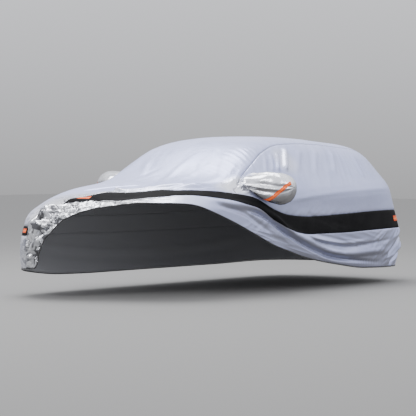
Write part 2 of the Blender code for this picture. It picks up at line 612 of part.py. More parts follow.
def new_tape(name, tree, spots, normals, width):
    """A tape on a piece, along a line of spots, seated a little high and then let down to the gap of a seam."""
    ways = np.gradient(spots, axis=0)
    across = np.cross(normals, ways)
    across /= np.linalg.norm(across, axis=-1, keepdims=True)
    shares = np.linspace(-0.5, 0.5, TAPE_ROWS + 1)
    under = np.array([
        [seated(tree, spot + sideways * width * share, normal, TAPE_LIFT) for share in shares]
        for spot, sideways, normal in zip(spots, across, normals)
    ])
    under -= normals[:, None] * (gap_under(tree, under) - TAPE_GAP)
    over = under + normals[:, None] * TAPE
    bm, place = sheet_grid(len(spots) - 1, TAPE_ROWS)
    thickened(bm, over.reshape(-1, 3), under.reshape(-1, 3), place)
    return new_object(name, bm, ORANGE, 0.40)


def new_cloth_tape(name, tape, panel):
    """A tape on a band, with a step at each column of the cloth, where the band under it bends."""
    (low, low_up), (high, high_up) = sorted((tape.start, tape.end))
    knots = [low, *(r for r in ROUNDS if low < r < high), high]
    rounds = [r for a, b in zip(knots, knots[1:]) for r in np.linspace(a, b, TAPE_STEPS, endpoint=False)]
    rounds.append(high)
    ups = np.interp(rounds, (low, high), (low_up, high_up))
    spots, normals = (np.array(found) for found in zip(*map(cloth_at, rounds, ups)))
    return new_tape(name, outside_of(panel), spots, normals, tape.width)


def new_pocket_tape(name, pocket, sleeve):
    """The tape that crosses a pocket's front from its foot, near the panel, to the top of its tip."""
    steps = np.linspace(0, len(POCKET_TAPE_PATH) - 1, POCKET_TAPE_STEPS + 1)
    reach = 0.02
    spots, normals = [], []
    for angle, share in smooth_through(np.array(POCKET_TAPE_PATH), steps):
        onward = pocket_at(pocket, angle, share + reach) - pocket_at(pocket, angle, share - reach)
        turning = pocket_at(pocket, angle + 2.0, share) - pocket_at(pocket, angle - 2.0, share)
        normal = np.cross(onward, turning) * pocket.side
        spots.append(pocket_at(pocket, angle, share))
        normals.append(normal / np.linalg.norm(normal))
    return new_tape(name, outside_of(sleeve), np.array(spots), np.array(normals), POCKET_TAPE_WIDTH)


def new_binding():
    """The corded black edge that runs all round under the hem."""
    hem = DRAPED[:-1, 0]
    onward = np.roll(hem, -1, axis=0) - np.roll(hem, 1, axis=0)
    below = np.cross(onward, OUTWARD[:-1, 0])
    below /= np.linalg.norm(below, axis=-1, keepdims=True)
    middle = hem - OUTWARD[:-1, 0] * CLOTH / 2 + below * (BINDING_RADIUS + 3 * SEAM_INSET)
    curve = bpy.data.curves.new("hem_binding", "CURVE")
    curve.dimensions = "3D"
    curve.bevel_depth = BINDING_RADIUS
    curve.bevel_resolution = 1
    spline = curve.splines.new("POLY")
    spline.points.add(len(middle) - 1)
    for point, spot in zip(spline.points, placed(middle)):
        point.co = (*spot, 1.0)
    spline.use_cyclic_u = True
    curve.materials.append(new_material("hem_binding_cord", BLACK, 0.70))
    item = bpy.data.objects.new("hem_binding", curve)
    bpy.context.collection.objects.link(item)
    return item


def main():
    clear_scene()
    panels = {"top_panel": cut_panel("top_panel", SILVER, 0.45, 0.25)}
    for side in ("left", "right"):
        panels["side_" + side] = cut_panel("side_" + side, SILVER, 0.45, 0.25)
        panels["band_" + side] = cut_panel("band_" + side, BLACK, 0.60)
        panels["skirt_" + side] = cut_panel("skirt_" + side, SILVER, 0.45, 0.25)
    for side, pocket in POCKETS.items():
        sleeve = new_pocket("mirror_pocket_" + side, pocket, panels["side_" + side])
        new_pocket_tape("reflector_pocket_" + side, pocket, sleeve)
    for name, tape in TAPES.items():
        new_cloth_tape(name, tape, panels[tape.on])
    new_binding()


main()
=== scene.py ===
"""The looks of a fitted silver cover, draped, with its front left corner lifted and pushed back.

The cloth is one draped surface, cut into its sewn panels. A place on it is named by two lengths in
metres: "round", the way round the widest line from the middle of the nose, positive on the left,
and "up", the way up the cloth from the lowest line of the hem. Sections are measured x forward,
y to the left and h up, from a point on the ground under the front of the cover. placed() moves
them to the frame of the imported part, whose origin is the rest under the roof.
"""

import math
from collections import namedtuple
from functools import lru_cache

import bmesh
import bpy
import numpy as np
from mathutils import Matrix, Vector, noise
from mathutils.bvhtree import BVHTree


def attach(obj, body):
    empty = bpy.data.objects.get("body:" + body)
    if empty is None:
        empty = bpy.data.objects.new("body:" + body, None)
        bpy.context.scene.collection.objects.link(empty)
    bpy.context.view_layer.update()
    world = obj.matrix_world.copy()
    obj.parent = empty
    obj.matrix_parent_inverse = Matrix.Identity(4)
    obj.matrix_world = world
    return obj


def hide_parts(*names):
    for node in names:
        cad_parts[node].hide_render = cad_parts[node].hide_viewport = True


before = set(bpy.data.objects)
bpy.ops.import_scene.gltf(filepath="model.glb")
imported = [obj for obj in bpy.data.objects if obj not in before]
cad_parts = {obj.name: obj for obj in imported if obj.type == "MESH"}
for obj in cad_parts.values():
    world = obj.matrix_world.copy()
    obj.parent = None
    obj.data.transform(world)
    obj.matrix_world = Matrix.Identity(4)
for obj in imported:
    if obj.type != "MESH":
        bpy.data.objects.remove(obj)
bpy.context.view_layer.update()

CLOTH_THICKNESS = 0.0015
ROOF_REST = (-1.92, 0.0, 1.476)

# The lowest line of the hem and the widest line, above the ground.
HEM_H = 0.165
WIDE_H = 0.46

# How far the three bends of a section reach along the runs beside them, and the most of a run that
# a bend takes. Over the top, the section leaves the spine level for a share of its width.
BENDS = (0.17, 0.07, 0.20)
BEND_SHARE = 0.48
CROWN = 0.45

Station = namedtuple(
    "Station",
    "hem_x hem_y wide_x wide_y shoulder_x shoulder_y shoulder_h rail_x rail_y rail_h spine_x spine_h",
)
STATIONS = (
    # The middle of the nose, round the front corner, down the left side, to the middle of the tail.
    Station(0.870, 0.000, 0.905, 0.000, 0.855, 0.000, 0.700, 0.620, 0.000, 0.850, 0.25, 0.945),
    Station(0.830, 0.360, 0.865, 0.380, 0.810, 0.370, 0.710, 0.580, 0.280, 0.868, 0.16, 0.952),
    Station(0.715, 0.690, 0.740, 0.715, 0.670, 0.680, 0.735, 0.480, 0.520, 0.905, 0.02, 0.968),
    Station(0.430, 0.845, 0.440, 0.885, 0.390, 0.865, 0.785, 0.270, 0.650, 0.955, -0.12, 0.990),
    Station(0.000, 0.875, 0.000, 0.925, -0.010, 0.905, 0.845, -0.040, 0.710, 1.005, -0.30, 1.035),
    Station(-0.480, 0.880, -0.480, 0.930, -0.490, 0.910, 0.890, -0.480, 0.720, 1.085, -0.50, 1.130),
    Station(-0.920, 0.885, -0.920, 0.930, -0.930, 0.915, 0.920, -0.860, 0.665, 1.315, -0.86, 1.370),
    Station(-1.450, 0.885, -1.450, 0.930, -1.450, 0.915, 0.935, -1.330, 0.610, 1.440, -1.33, 1.475),
    Station(-2.000, 0.885, -2.000, 0.930, -2.000, 0.915, 0.945, -1.950, 0.590, 1.455, -1.92, 1.478),
    Station(-2.600, 0.880, -2.600, 0.925, -2.580, 0.900, 0.960, -2.450, 0.575, 1.418, -2.36, 1.458),
    Station(-3.060, 0.850, -3.070, 0.885, -2.980, 0.832, 0.975, -2.830, 0.545, 1.388, -2.70, 1.430),
    Station(-3.340, 0.700, -3.370, 0.735, -3.225, 0.665, 0.990, -3.020, 0.430, 1.350, -2.88, 1.405),
    Station(-3.440, 0.380, -3.470, 0.390, -3.340, 0.360, 1.000, -3.080, 0.230, 1.325, -2.96, 1.388),
    Station(-3.470, 0.000, -3.500, 0.000, -3.370, 0.000, 1.005, -3.100, 0.000, 1.318, -2.98, 1.380),
)

# How far up the cloth each sewn line runs. The left band rides up over the front with the lifted
# hem, and the right band stays down on its flank.
Line = namedtuple("Line", "round hem right_low right_high left_low left_high seam")
LINES = (
    Line(-5.70, 0.010, 0.260, 0.420, 0.540, 0.690, 0.990),
    Line(-5.25, 0.010, 0.395, 0.585, 0.640, 0.690, 0.800),
    Line(-5.10, 0.010, 0.395, 0.585, 0.594, 0.608, 0.640),
    Line(-4.95, 0.010, 0.395, 0.585, 0.680, 0.800, 1.080),
    Line(-4.70, 0.010, 0.393, 0.583, 0.740, 0.900, 1.300),
    Line(-3.80, 0.000, 0.385, 0.570, 0.740, 0.900, 1.356),
    Line(-3.12, 0.000, 0.380, 0.555, 0.730, 0.900, 1.345),
    Line(-2.77, 0.000, 0.380, 0.550, 0.710, 0.860, 1.248),
    Line(-2.37, 0.000, 0.380, 0.550, 0.670, 0.790, 1.055),
    Line(-2.04, 0.000, 0.385, 0.555, 0.620, 0.680, 0.840),
    Line(-1.50, 0.010, 0.390, 0.555, 0.650, 0.760, 0.980),
    Line(-1.00, 0.060, 0.395, 0.520, 0.680, 0.810, 1.100),
    Line(-0.75, 0.095, 0.400, 0.492, 0.720, 0.830, 1.150),
    Line(-0.60, 0.100, 0.405, 0.492, 0.760, 0.860, 1.150),
    Line(-0.44, 0.118, 0.440, 0.540, 0.840, 0.925, 1.140),
    Line(-0.29, 0.358, 0.560, 0.660, 0.885, 0.990, 1.120),
    Line(-0.15, 0.500, 0.660, 0.750, 0.900, 1.030, 1.120),
    Line(0.00, 0.687, 0.760, 0.825, 0.940, 1.070, 1.130),
    Line(0.31, 0.812, 0.860, 0.905, 0.985, 1.130, 1.210),
    Line(0.65, 0.846, 0.885, 0.920, 0.981, 1.145, 1.300),
    Line(1.07, 0.790, 0.825, 0.860, 0.910, 1.060, 1.300),
    Line(1.34, 0.732, 0.770, 0.808, 0.862, 0.980, 1.160),
    Line(1.61, 0.644, 0.690, 0.745, 0.808, 0.905, 1.030),
    Line(1.84, 0.566, 0.620, 0.680, 0.750, 0.855, 0.930),
    Line(2.04, 0.492, 0.555, 0.625, 0.697, 0.803, 0.856),
    Line(2.24, 0.412, 0.490, 0.575, 0.657, 0.752, 0.985),
    Line(2.53, 0.308, 0.380, 0.455, 0.524, 0.631, 1.137),
    Line(2.77, 0.240, 0.300, 0.365, 0.430, 0.572, 1.248),
    Line(3.12, 0.150, 0.226, 0.305, 0.380, 0.549, 1.345),
    Line(3.63, 0.065, 0.170, 0.275, 0.378, 0.560, 1.358),
    Line(4.12, 0.010, 0.135, 0.262, 0.388, 0.575, 1.352),
    Line(4.70, 0.000, 0.130, 0.262, 0.395, 0.583, 1.300),
    Line(4.95, 0.000, 0.130, 0.262, 0.395, 0.585, 1.080),
    Line(5.10, 0.005, 0.130, 0.262, 0.395, 0.585, 0.640),
    Line(5.25, 0.010, 0.130, 0.262, 0.395, 0.585, 0.800),
    Line(5.70, 0.010, 0.260, 0.420, 0.540, 0.690, 0.990),
)
ROWS_ABOVE = {"hem": 16, "right_low": 8, "right_high": 14, "left_low": 12, "left_high": 42, "seam": 28}

# Where panels start and end, as lengths round.
LEFT_BAND_FRONT = 0.44
RIGHT_BAND_FRONT = 0.60
SIDE_FRONT = 2.04
SIDE_BACK = 5.10
BAND_BACK = 5.25

# How many columns of the cloth lie up to each length round, from the one before it. The last
# stretch runs to the middle of the tail.
CRUMPLE_BACK = 1.04
COLUMNS_TO = {
    LEFT_BAND_FRONT: 44, RIGHT_BAND_FRONT: 16, CRUMPLE_BACK: 40,
    SIDE_FRONT: 70, SIDE_BACK: 204, BAND_BACK: 10,
}
TAIL_COLUMNS = 16

# Each fold runs through these places (round, up). A trough has a height below nothing. sharp is
# above 1 for a crease and 1 for a soft roll.
Fold = namedtuple("Fold", "path width height sharp")
FOLDS = (
    # The band's upper edge stands up across the front, with the pushed-back cloth heaped behind it.
    Fold(((-0.62, 0.88), (-0.2, 1.02), (0.2, 1.12), (0.6, 1.15), (1.0, 1.08), (1.4, 0.97)),
         0.15, 0.036, 0.8),
    Fold(((-0.4, 1.1), (0.0, 1.2), (0.4, 1.28), (0.8, 1.28), (1.2, 1.17), (1.6, 1.02), (2.0, 0.91)),
         0.085, 0.046, 1.0),
    Fold(((-0.5, 1.2), (0.1, 1.34), (0.7, 1.4), (1.2, 1.28), (1.7, 1.1), (2.1, 0.98)),
         0.06, -0.02, 1.6),
    Fold(((-0.7, 1.12), (-0.2, 1.32), (0.4, 1.46), (0.95, 1.46), (1.4, 1.32)), 0.08, 0.02, 1.2),
    Fold(((-1.05, 1.12), (-1.17, 1.24), (-1.28, 1.36), (-1.33, 1.5), (-1.39, 1.62)),
         0.036, -0.016, 1.4),
    Fold(((1.39, 1.62), (1.41, 1.42), (1.47, 1.17), (1.59, 1.02), (1.75, 0.95), (1.97, 0.9)),
         0.036, -0.016, 1.4),
    Fold(((1.5, 0.98), (1.9, 0.93), (2.16, 0.94), (2.42, 1.07)), 0.05, -0.012, 1.6),
    Fold(((1.35, 1.12), (1.85, 1.0), (2.18, 1.03), (2.36, 1.16)), 0.045, -0.009, 1.6),
    # Short sharp folds lie in the heaped cloth.
    Fold(((-0.2, 1.17), (0.3, 1.235), (0.8, 1.225), (1.25, 1.11)), 0.034, 0.014, 1.0),
    Fold(((0.55, 1.27), (0.95, 1.21), (1.3, 1.1), (1.65, 1.0)), 0.03, -0.016, 1.4),
    Fold(((0.1, 1.35), (0.6, 1.38), (1.1, 1.27), (1.5, 1.14)), 0.032, 0.012, 1.0),
    Fold(((1.25, 1.06), (1.55, 0.985), (1.85, 0.93)), 0.032, 0.014, 1.0),
    # Bunched cloth hangs down over the front right corner.
    Fold(((-0.66, 0.86), (-0.3, 0.92), (0.1, 0.9), (0.5, 0.9)), 0.06, 0.01, 1.2),
    # The lifted hem rolls along the left skirt: a bright roll under the band, then creases above
    # the flat hem.
    Fold(((1.55, 0.78), (1.82, 0.71), (2.31, 0.64), (2.77, 0.43), (3.25, 0.32), (3.68, 0.25)),
         0.055, 0.022, 1.0),
    Fold(((2.05, 0.64), (2.34, 0.58), (2.69, 0.42), (3.12, 0.25), (3.44, 0.156), (3.79, 0.1), (4.44, 0.045)),
         0.042, -0.034, 1.7),
    Fold(((1.6, 0.74), (1.87, 0.66), (2.1, 0.6), (2.3, 0.5), (2.55, 0.4)), 0.045, -0.014, 1.6),
    Fold(((2.45, 0.61), (2.6, 0.52), (2.85, 0.37), (3.15, 0.285), (3.5, 0.2), (4.0, 0.14)),
         0.05, 0.018, 1.1),
    Fold(((2.95, 0.4), (3.22, 0.31), (3.5, 0.26), (3.76, 0.23), (4.1, 0.25), (4.6, 0.29)),
         0.036, -0.02, 1.8),
    Fold(((3.0, 0.36), (3.4, 0.3), (3.76, 0.275), (4.1, 0.295)), 0.03, 0.009, 1.1),
    Fold(((3.3, 0.22), (3.7, 0.17), (4.1, 0.17), (4.5, 0.18)), 0.055, 0.02, 1.1),
    # The hem itself is drawn in under the roll, and the whole skirt leans in a little toward it.
    Fold(((2.2, 0.46), (2.6, 0.31), (3.0, 0.17), (3.4, 0.07), (3.9, 0.0), (4.55, -0.02)),
         0.12, -0.009, 1.0),
    Fold(((2.3, 0.4), (2.8, 0.22), (3.4, 0.04), (4.0, -0.02), (4.6, -0.03), (5.3, -0.03)),
         0.42, -0.026, 1.0),
    # The foot of the rear corner curls, with short puckers round it.
    Fold(((5.0, 0.34), (4.8, 0.28), (4.62, 0.2), (4.5, 0.12)), 0.045, -0.026, 1.7),
    Fold(((5.05, 0.2), (4.85, 0.15), (4.68, 0.08), (4.58, 0.02)), 0.045, -0.026, 1.7),
    Fold(((5.15, 0.28), (4.92, 0.22), (4.72, 0.15), (4.56, 0.07)), 0.04, 0.016, 1.2),
    # Faint creases run up the front slope, and its foot pulls toward the left pocket.
    Fold(((-1.79, 1.31), (-1.95, 1.42), (-2.05, 1.51), (-2.16, 1.66)), 0.034, -0.006, 1.4),
    Fold(((-1.69, 1.46), (-1.88, 1.54), (-2.02, 1.63)), 0.03, -0.005, 1.4),
    Fold(((2.02, 1.12), (2.18, 1.24), (2.36, 1.4), (2.5, 1.58)), 0.045, -0.006, 1.4),
    Fold(((1.9, 1.22), (2.08, 1.38), (2.24, 1.56)), 0.045, -0.005, 1.4),
    # The shoulder's edge, and creases across the dipping band.
    Fold(((2.7, 0.7), (3.2, 0.75), (3.78, 0.785), (4.3, 0.8), (4.8, 0.81)), 0.03, 0.006, 1.0),
    Fold(((3.02, 0.58), (3.28, 0.51), (3.58, 0.41)), 0.034, -0.006, 1.4),
    Fold(((3.2, 0.56), (3.45, 0.49), (3.75, 0.43)), 0.034, -0.005, 1.4),
    # Drapes of the side panels.
    Fold(((3.34, 1.27), (3.22, 1.15), (3.1, 1.0)), 0.055, 0.01, 1.3),
    Fold(((3.62, 1.29), (3.46, 1.12), (3.32, 0.95)), 0.055, 0.008, 1.3),
    Fold(((3.92, 1.29), (3.78, 1.12), (3.68, 0.96)), 0.055, 0.009, 1.3),
    Fold(((4.34, 1.25), (4.26, 1.08), (4.2, 0.92)), 0.055, 0.009, 1.3),
    Fold(((3.14, 1.3), (3.03, 1.15), (2.93, 1.02)), 0.034, 0.032, 1.0),
    Fold(((3.05, 1.26), (2.96, 1.14), (2.87, 1.03)), 0.026, -0.014, 1.4),
    Fold(((2.98, 1.25), (2.89, 1.12), (2.8, 1.02)), 0.03, 0.022, 1.0),
    Fold(((2.88, 1.24), (2.79, 1.1), (2.72, 1.02)), 0.03, 0.016, 1.0),
    Fold(((2.74, 1.18), (2.66, 1.08), (2.6, 1.0)), 0.03, 0.012, 1.0),
    # Gathers run from the left mirror pocket to the foot of the front slope.
    Fold(((2.34, 0.95), (2.2, 0.96), (2.02, 0.92)), 0.03, 0.016, 1.0),
    Fold(((2.32, 0.88), (2.2, 0.89), (2.06, 0.86)), 0.028, 0.016, 1.0),
    Fold(((2.32, 0.92), (2.2, 0.925), (2.04, 0.89)), 0.022, -0.01, 1.4),
    Fold(((2.34, 0.82), (2.24, 0.82), (2.12, 0.8)), 0.028, 0.014, 1.0),
    # Long drapes cross the front slope. The right skirt, the right side and the tail have their own.
    Fold(((2.42, 1.66), (1.92, 1.6), (1.42, 1.54)), 0.07, 0.008, 1.3),
    Fold(((-2.32, 1.41), (-1.9, 1.42), (-1.44, 1.38)), 0.07, 0.008, 1.3),
    Fold(((-1.2, 0.3), (-2.2, 0.2), (-3.4, 0.19), (-4.5, 0.27)), 0.06, -0.02, 1.5),
    Fold(((-1.3, 0.22), (-2.2, 0.12), (-3.4, 0.11), (-4.4, 0.17)), 0.06, 0.016, 1.1),
    Fold(((-3.4, 1.27), (-3.26, 1.1), (-3.14, 0.95)), 0.055, 0.009, 1.3),
    Fold(((-4.05, 1.27), (-3.86, 1.1), (-3.7, 0.95)), 0.055, 0.009, 1.3),
    Fold(((5.55, 0.95), (5.35, 0.7), (5.3, 0.4)), 0.07, 0.011, 1.2),
    Fold(((-5.5, 1.0), (-5.32, 0.72), (-5.35, 0.38)), 0.07, 0.011, 1.2),
)
FOLD_SAMPLES = 90
# A fold rises over this stretch of its path at each end. Toward the spine every height fades out.
FOLD_RISE = (-0.02, 0.2)
SPINE_FADE = 0.10

# Patches of finer wrinkles. A patch reaches so far round and up from its middle, its wrinkles run
# at an angle from the way round, and they are so far apart, so long and so high.
Wrinkles = namedtuple("Wrinkles", "round up reach_round reach_up angle pitch length height")
WRINKLE_PATCHES = (
    Wrinkles(3.55, 1.12, 1.50, 0.36, 62, 0.085, 0.55, 0.0050),
    Wrinkles(-3.40, 1.12, 1.60, 0.36, 118, 0.095, 0.55, 0.0050),
    Wrinkles(2.45, 1.22, 0.45, 0.24, 80, 0.045, 0.40, 0.0060),
    Wrinkles(1.80, 1.60, 1.00, 0.45, 20, 0.100, 0.60, 0.0026),
    Wrinkles(-1.80, 1.55, 1.00, 0.45, 160, 0.100, 0.60, 0.0026),
    Wrinkles(0.90, 1.35, 1.60, 0.26, -6, 0.060, 0.45, 0.0070),
    Wrinkles(0.60, 0.92, 1.60, 0.12, -4, 0.030, 0.30, 0.0030),
    Wrinkles(2.15, 0.95, 0.50, 0.20, 30, 0.045, 0.25, 0.0050),
    Wrinkles(3.00, 0.30, 1.60, 0.28, -12, 0.050, 0.60, 0.0055),
    Wrinkles(4.70, 0.22, 0.70, 0.28, 28, 0.050, 0.30, 0.0100),
    Wrinkles(3.00, 0.50, 1.30, 0.16, 35, 0.060, 0.30, 0.0040),
    Wrinkles(-3.00, 0.22, 2.10, 0.26, 4, 0.070, 0.60, 0.0060),
    Wrinkles(5.70, 0.70, 0.80, 0.60, 80, 0.110, 0.50, 0.0050),
    Wrinkles(-5.70, 0.70, 0.80, 0.60, 100, 0.110, 0.50, 0.0050),
)
WRINKLE_FADE = 0.5
SWELL_SIZE = 0.42
SWELL_HEIGHT = 0.0035

# Each noise is read in a slice of its own, so that no two are alike.
WRINKLE_SLICE = 7.3
SWELL_SLICE = 3.7
CRUMPLE_SLICE = 4.7
PUCKER_SLICE = 1.9

# The pushed-up cloth at the front right corner is crushed in layers. The marks of a layer are so
# long and so wide, stand so high and lie at an angle from the way round. A layer has sharp creases
# between them, or sharp ridges, and a second noise bends them.
Crumple = namedtuple("Crumple", "length width height angle creased")
CRUMPLES = (
    Crumple(0.300, 0.110, 0.060, 58, True),
    Crumple(0.170, 0.075, 0.045, 100, False),
    Crumple(0.110, 0.050, 0.028, 35, True),
    Crumple(0.055, 0.026, 0.010, 75, False),
    Crumple(0.048, 0.022, 0.008, 50, True),
)
CRUMPLE_LEVEL = 0.22
CRUMPLE_BEND = 0.60
CRUMPLE_BEND_PITCH = 0.8
CRUMPLE_BEND_SHIFTS = (11.0, 23.0)

# The layers fade in and out between these lengths round, end below the band, and fade at the hem.
CRUMPLE_RIGHT = (-0.64, -0.40)
CRUMPLE_LEFT = (-0.25, 0.35)
CRUMPLE_BELOW_BAND = (-0.16, 0.01)
CRUMPLE_HEM = 0.04
CRUMPLE_AT_HEM = 0.15

# The same cloth shines as foil a little beyond its creases, and a crease is painted dark, a painted shade,
# out to this noise.
FOIL_RIGHT = (-1.10, -0.44)
FOIL_LEFT = (0.50, 1.70)
FOIL_TOP = (1.08, 1.44)
CREASE_REACH = 0.12

# It also shines where it is pulled tight beside the left mirror pocket. A patch reaches so far
# round and up, and fades between two shares of that.
Shine = namedtuple("Shine", "round up reach_round reach_up most")
SHINES = (Shine(2.12, 0.89, 0.34, 0.15, 0.80), Shine(3.02, 1.14, 0.20, 0.20, 0.40))
SHINE_FADE = (0.3, 1.0)

# Cloth that faces the ground is painted darker and greyer, a painted shade for the dark ground it would
# reflect, from this much of a lean to that.
UNDER_SHADE_LEAN = (-0.24, 0.45)
SLEEVE_UNDER_SHADE_LEAN = (-0.25, 0.45)

# A seam draws its cloth in by this much, out to this far from it, and puckers it further out.
SEAM_DRAW = 0.0022
SEAM_REACH = 0.016
PUCKER_REACH = 3 * SEAM_REACH
PUCKER_PITCH = 0.030
PUCKER_HEIGHT = 0.0010
NO_SEAM_NEAR = 9.0

# The mirror pockets. The left one is dragged back with the lifted cloth. side is 1 on the left and
# -1 on the right.
Pocket = namedtuple("Pocket", "side round back_share")
POCKETS = {"left": Pocket(1, 2.42, 1.0), "right": Pocket(-1, 2.31, 0.5)}
POCKET_UP = 0.880
POCKET_HOLE_SHARE = 0.80

# A pocket's rim, which is sewn round a hole in the side panel, and its rings from there to the
# closed tip. rim_share is how far a ring still leans with the panel.
Ring = namedtuple("Ring", "out front_reach back_reach half_height lift back rim_share")
POCKET_RIM = Ring(0.000, 0.235, 0.160, 0.135, 0.000, 0.000, 1.0)
POCKET_RINGS = (
    Ring(0.035, 0.200, 0.150, 0.140, -0.012, 0.010, 0.75),
    Ring(0.090, 0.155, 0.135, 0.154, -0.028, 0.035, 0.40),
    Ring(0.155, 0.125, 0.125, 0.154, -0.036, 0.070, 0.12),
    Ring(0.220, 0.108, 0.110, 0.137, -0.040, 0.100, 0.0),
    Ring(0.275, 0.075, 0.080, 0.095, -0.034, 0.120, 0.0),
    Ring(0.300, 0.030, 0.032, 0.038, -0.030, 0.125, 0.0),
    Ring(0.304, 0.000, 0.000, 0.000, -0.030, 0.126, 0.0),
)
POCKET_SIDES = 160
POCKET_STEPS = 60

# The gathers of a sleeve lie at its front, sway a little and run out toward its tip.
PLEAT_COUNT = 9
PLEAT_DEPTH = 0.015
PLEAT_SWAY = 1.4
PLEAT_SWAYS = 5
PLEAT_FRONT = 1.5
PLEAT_RUNOUT = 1.3
PLEAT_START = 0.12

# The dents of its pushed foil, by size and height.
DENTS = ((0.130, 0.006), (0.050, 0.0015))
DENT_LEVEL = 0.5
DENT_START = 0.10
DENT_END = 0.94

# The sleeve's cloth, round it and from its rim to its tip, for its UV map.
POCKET_GIRTH = 0.95
POCKET_RUN = 0.42
SLEEVE_LIFT = 0.0010

# The path of a sleeve's tape, by the angle round the sleeve in degrees and the ring, which may lie
# between two. A probe from this far out finds the sleeve under it.
POCKET_TAPE_PATH = (
    (-60.0, 1.80), (-50.0, 2.46), (-31.0, 3.24), (-8.0, 4.14), (18.0, 4.98), (48.0, 5.46),
)
POCKET_TAPE_WIDTH = 0.033
POCKET_TAPE_SMOOTHINGS = 3
PROBE = 0.05

# Reflective tapes on the bands, by the places of their two ends.
Tape = namedtuple("Tape", "start end width")
TAPES = {
    "front_left": Tape((-0.31, 0.933), (-0.13, 0.970), 0.040),
    "front_right": Tape((-0.74, 0.447), (-0.63, 0.449), 0.040),
    "rear_left": Tape((4.66, 0.492), (4.93, 0.494), 0.056),
    "rear_right": Tape((-4.66, 0.492), (-4.93, 0.494), 0.056),
}
TAPE_THICKNESS = 0.0008
TAPE_LIFT = 0.0014
TAPE_COLUMNS = 60
TAPE_ROWS = 10

# Places closer than this are one.
WELD = 1e-6

BINDING_RADIUS = 0.0055
BINDING_SIDES = 10
BINDING_GAP = 0.0004

# How each cloth is cut: its greatest width and length and its flat area, and the cloth it is sewn
# to and hangs from.
Cut = namedtuple("Cut", "width length area sewn_to")

SILVER = (0.545, 0.590, 0.860)
SILVER_SHADE = (0.465, 0.510, 0.775)
FOIL_SILVER = (0.870, 0.885, 0.930)
FOIL_SHADE = (0.590, 0.605, 0.660)
# The next two colours are painted shade, on the dark facets and the creases of the crushed corner.
FOIL_FACET_SHADE = (0.200, 0.203, 0.220)
CREASE_SHADE = (0.080, 0.080, 0.085)
# The next colour is painted shade, for cloth that faces the ground.
UNDER_SHADE_COLOUR = (0.230, 0.222, 0.225)
SEAM_SHADE = (0.240, 0.240, 0.280)
LINING = (0.420, 0.425, 0.450)
LINING_SHADE = (0.340, 0.345, 0.370)
BLACK = (0.010, 0.010, 0.011)
BLACK_WORN = (0.017, 0.017, 0.018)
ORANGE = (0.860, 0.095, 0.001)
ORANGE_EDGE = (0.460, 0.045, 0.001)
PALE_STRIPE = (0.950, 0.330, 0.110)

# Soft noises that tone the finishes and raise their small relief, in marks to a metre.
Clouds = namedtuple("Clouds", "scale detail roughness distortion", defaults=(0.5, 0.0))
SILVER_TONE = Clouds(1.6, 4.0, 0.6)
SILVER_RUB = Clouds(9.0, 5.0, 0.65)
SILVER_BUCKLE = Clouds(8.0, 3.0, 0.55, 0.5)
SILVER_CRINKLE = Clouds(26.0, 5.0, 0.6, 0.8)
FOIL_TONE = Clouds(7.0, 4.0)
FOIL_CRINKLE = Clouds(34.0, 5.0, 0.6, 1.2)
BACK_FIBRE = Clouds(240.0, 4.0)
BLACK_TONE = Clouds(3.0, 5.0, 0.65)
BLACK_CRINKLE = Clouds(18.0, 4.0, 0.5, 0.6)
CORD_TONE = Clouds(12.0, 3.0)

# The facets of crushed foil: marks to a metre, how they are turned and stretched, and what pushes
# them about.
FACET_SCALE = 14.0
FACET_TURN = -0.95
FACET_STRETCH = (1.0, 2.4, 1.0)
FACET_DRIFT = Clouds(9.0, 2.0)
FACET_PUSH = (0.10, 0.10, 0.0)

# Threads and ribs, from one to the next. A wave texture of scale 1 repeats at WAVE_LENGTH.
WEAVE_PITCH = 0.0030
WEAVE_SWAY = 0.6
RIB_PITCH = 0.004
WAVE_LENGTH = 0.314

# How metallic the cloth is where it is satin and where it is foil, how far a seam's dark line
# reaches, and how many beads of the tape lie in a metre.
SILVER_METAL = 0.60
FOIL_METAL = 0.95
SEAM_LINE = 0.007
BEAD_SCALE = 500.0

FLOOR_SIZE = 60.0
FLOOR_GREY = (0.200, 0.200, 0.198)
FLOOR_ROUGHNESS = 0.9
# The room's light by how high it comes from: 0.5 is level and 1 straight above.
SKY = {
    0.485: (0.270, 0.270, 0.276),
    0.540: (0.520, 0.525, 0.550),
    0.700: (0.860, 0.865, 0.900),
    0.920: (1.000, 1.000, 1.030),
}
WORLD_STRENGTH = 1.65
LIGHTS = {
    "overhead": ((1.0, -1.5, 6.5), 6.0, 900.0),
    "front_box": ((11.0, 0.0, 4.5), 2.0, 400.0),
    "near_box": ((5.0, 10.0, 5.0), 2.5, 200.0),
}

CAMERA_PLACE = (13.63, 12.11, 1.35)
CAMERA_YAW = 219.354
CAMERA_PITCH = -1.69
CAMERA_LENS = 170.2
CAMERA_REACH = 200.0

# How finely the widest line and the runs of a section are sampled.
SECTION_SAMPLES = 40
STRAIGHT_SAMPLES = 12
BEND_SAMPLES = 24
CROWN_SAMPLES = 40


def placed(point):
    """A point in the sections' own measure, in the part's frame."""
    return np.asarray(point) - ROOF_REST


def smooth_through(values, at):
    """The natural cubic through values that stand at 0, 1, 2 and so on, read at each number in at."""
    count = len(values)
    system = np.eye(count)
    bends = np.zeros_like(values)
    for i in range(1, count - 1):
        system[i, i - 1:i + 2] = (1, 4, 1)
        bends[i] = 6 * (values[i - 1] - 2 * values[i] + values[i + 1])
    bends = np.linalg.solve(system, bends.reshape(count, -1)).reshape(values.shape)
    low = np.clip(np.floor(at).astype(int), 0, count - 2)
    t = (at - low).reshape(-1, *[1] * (values.ndim - 1))
    s = 1 - t
    straight = s * values[low] + t * values[low + 1]
    return straight + ((s ** 3 - s) * bends[low] + (t ** 3 - t) * bends[low + 1]) / 6


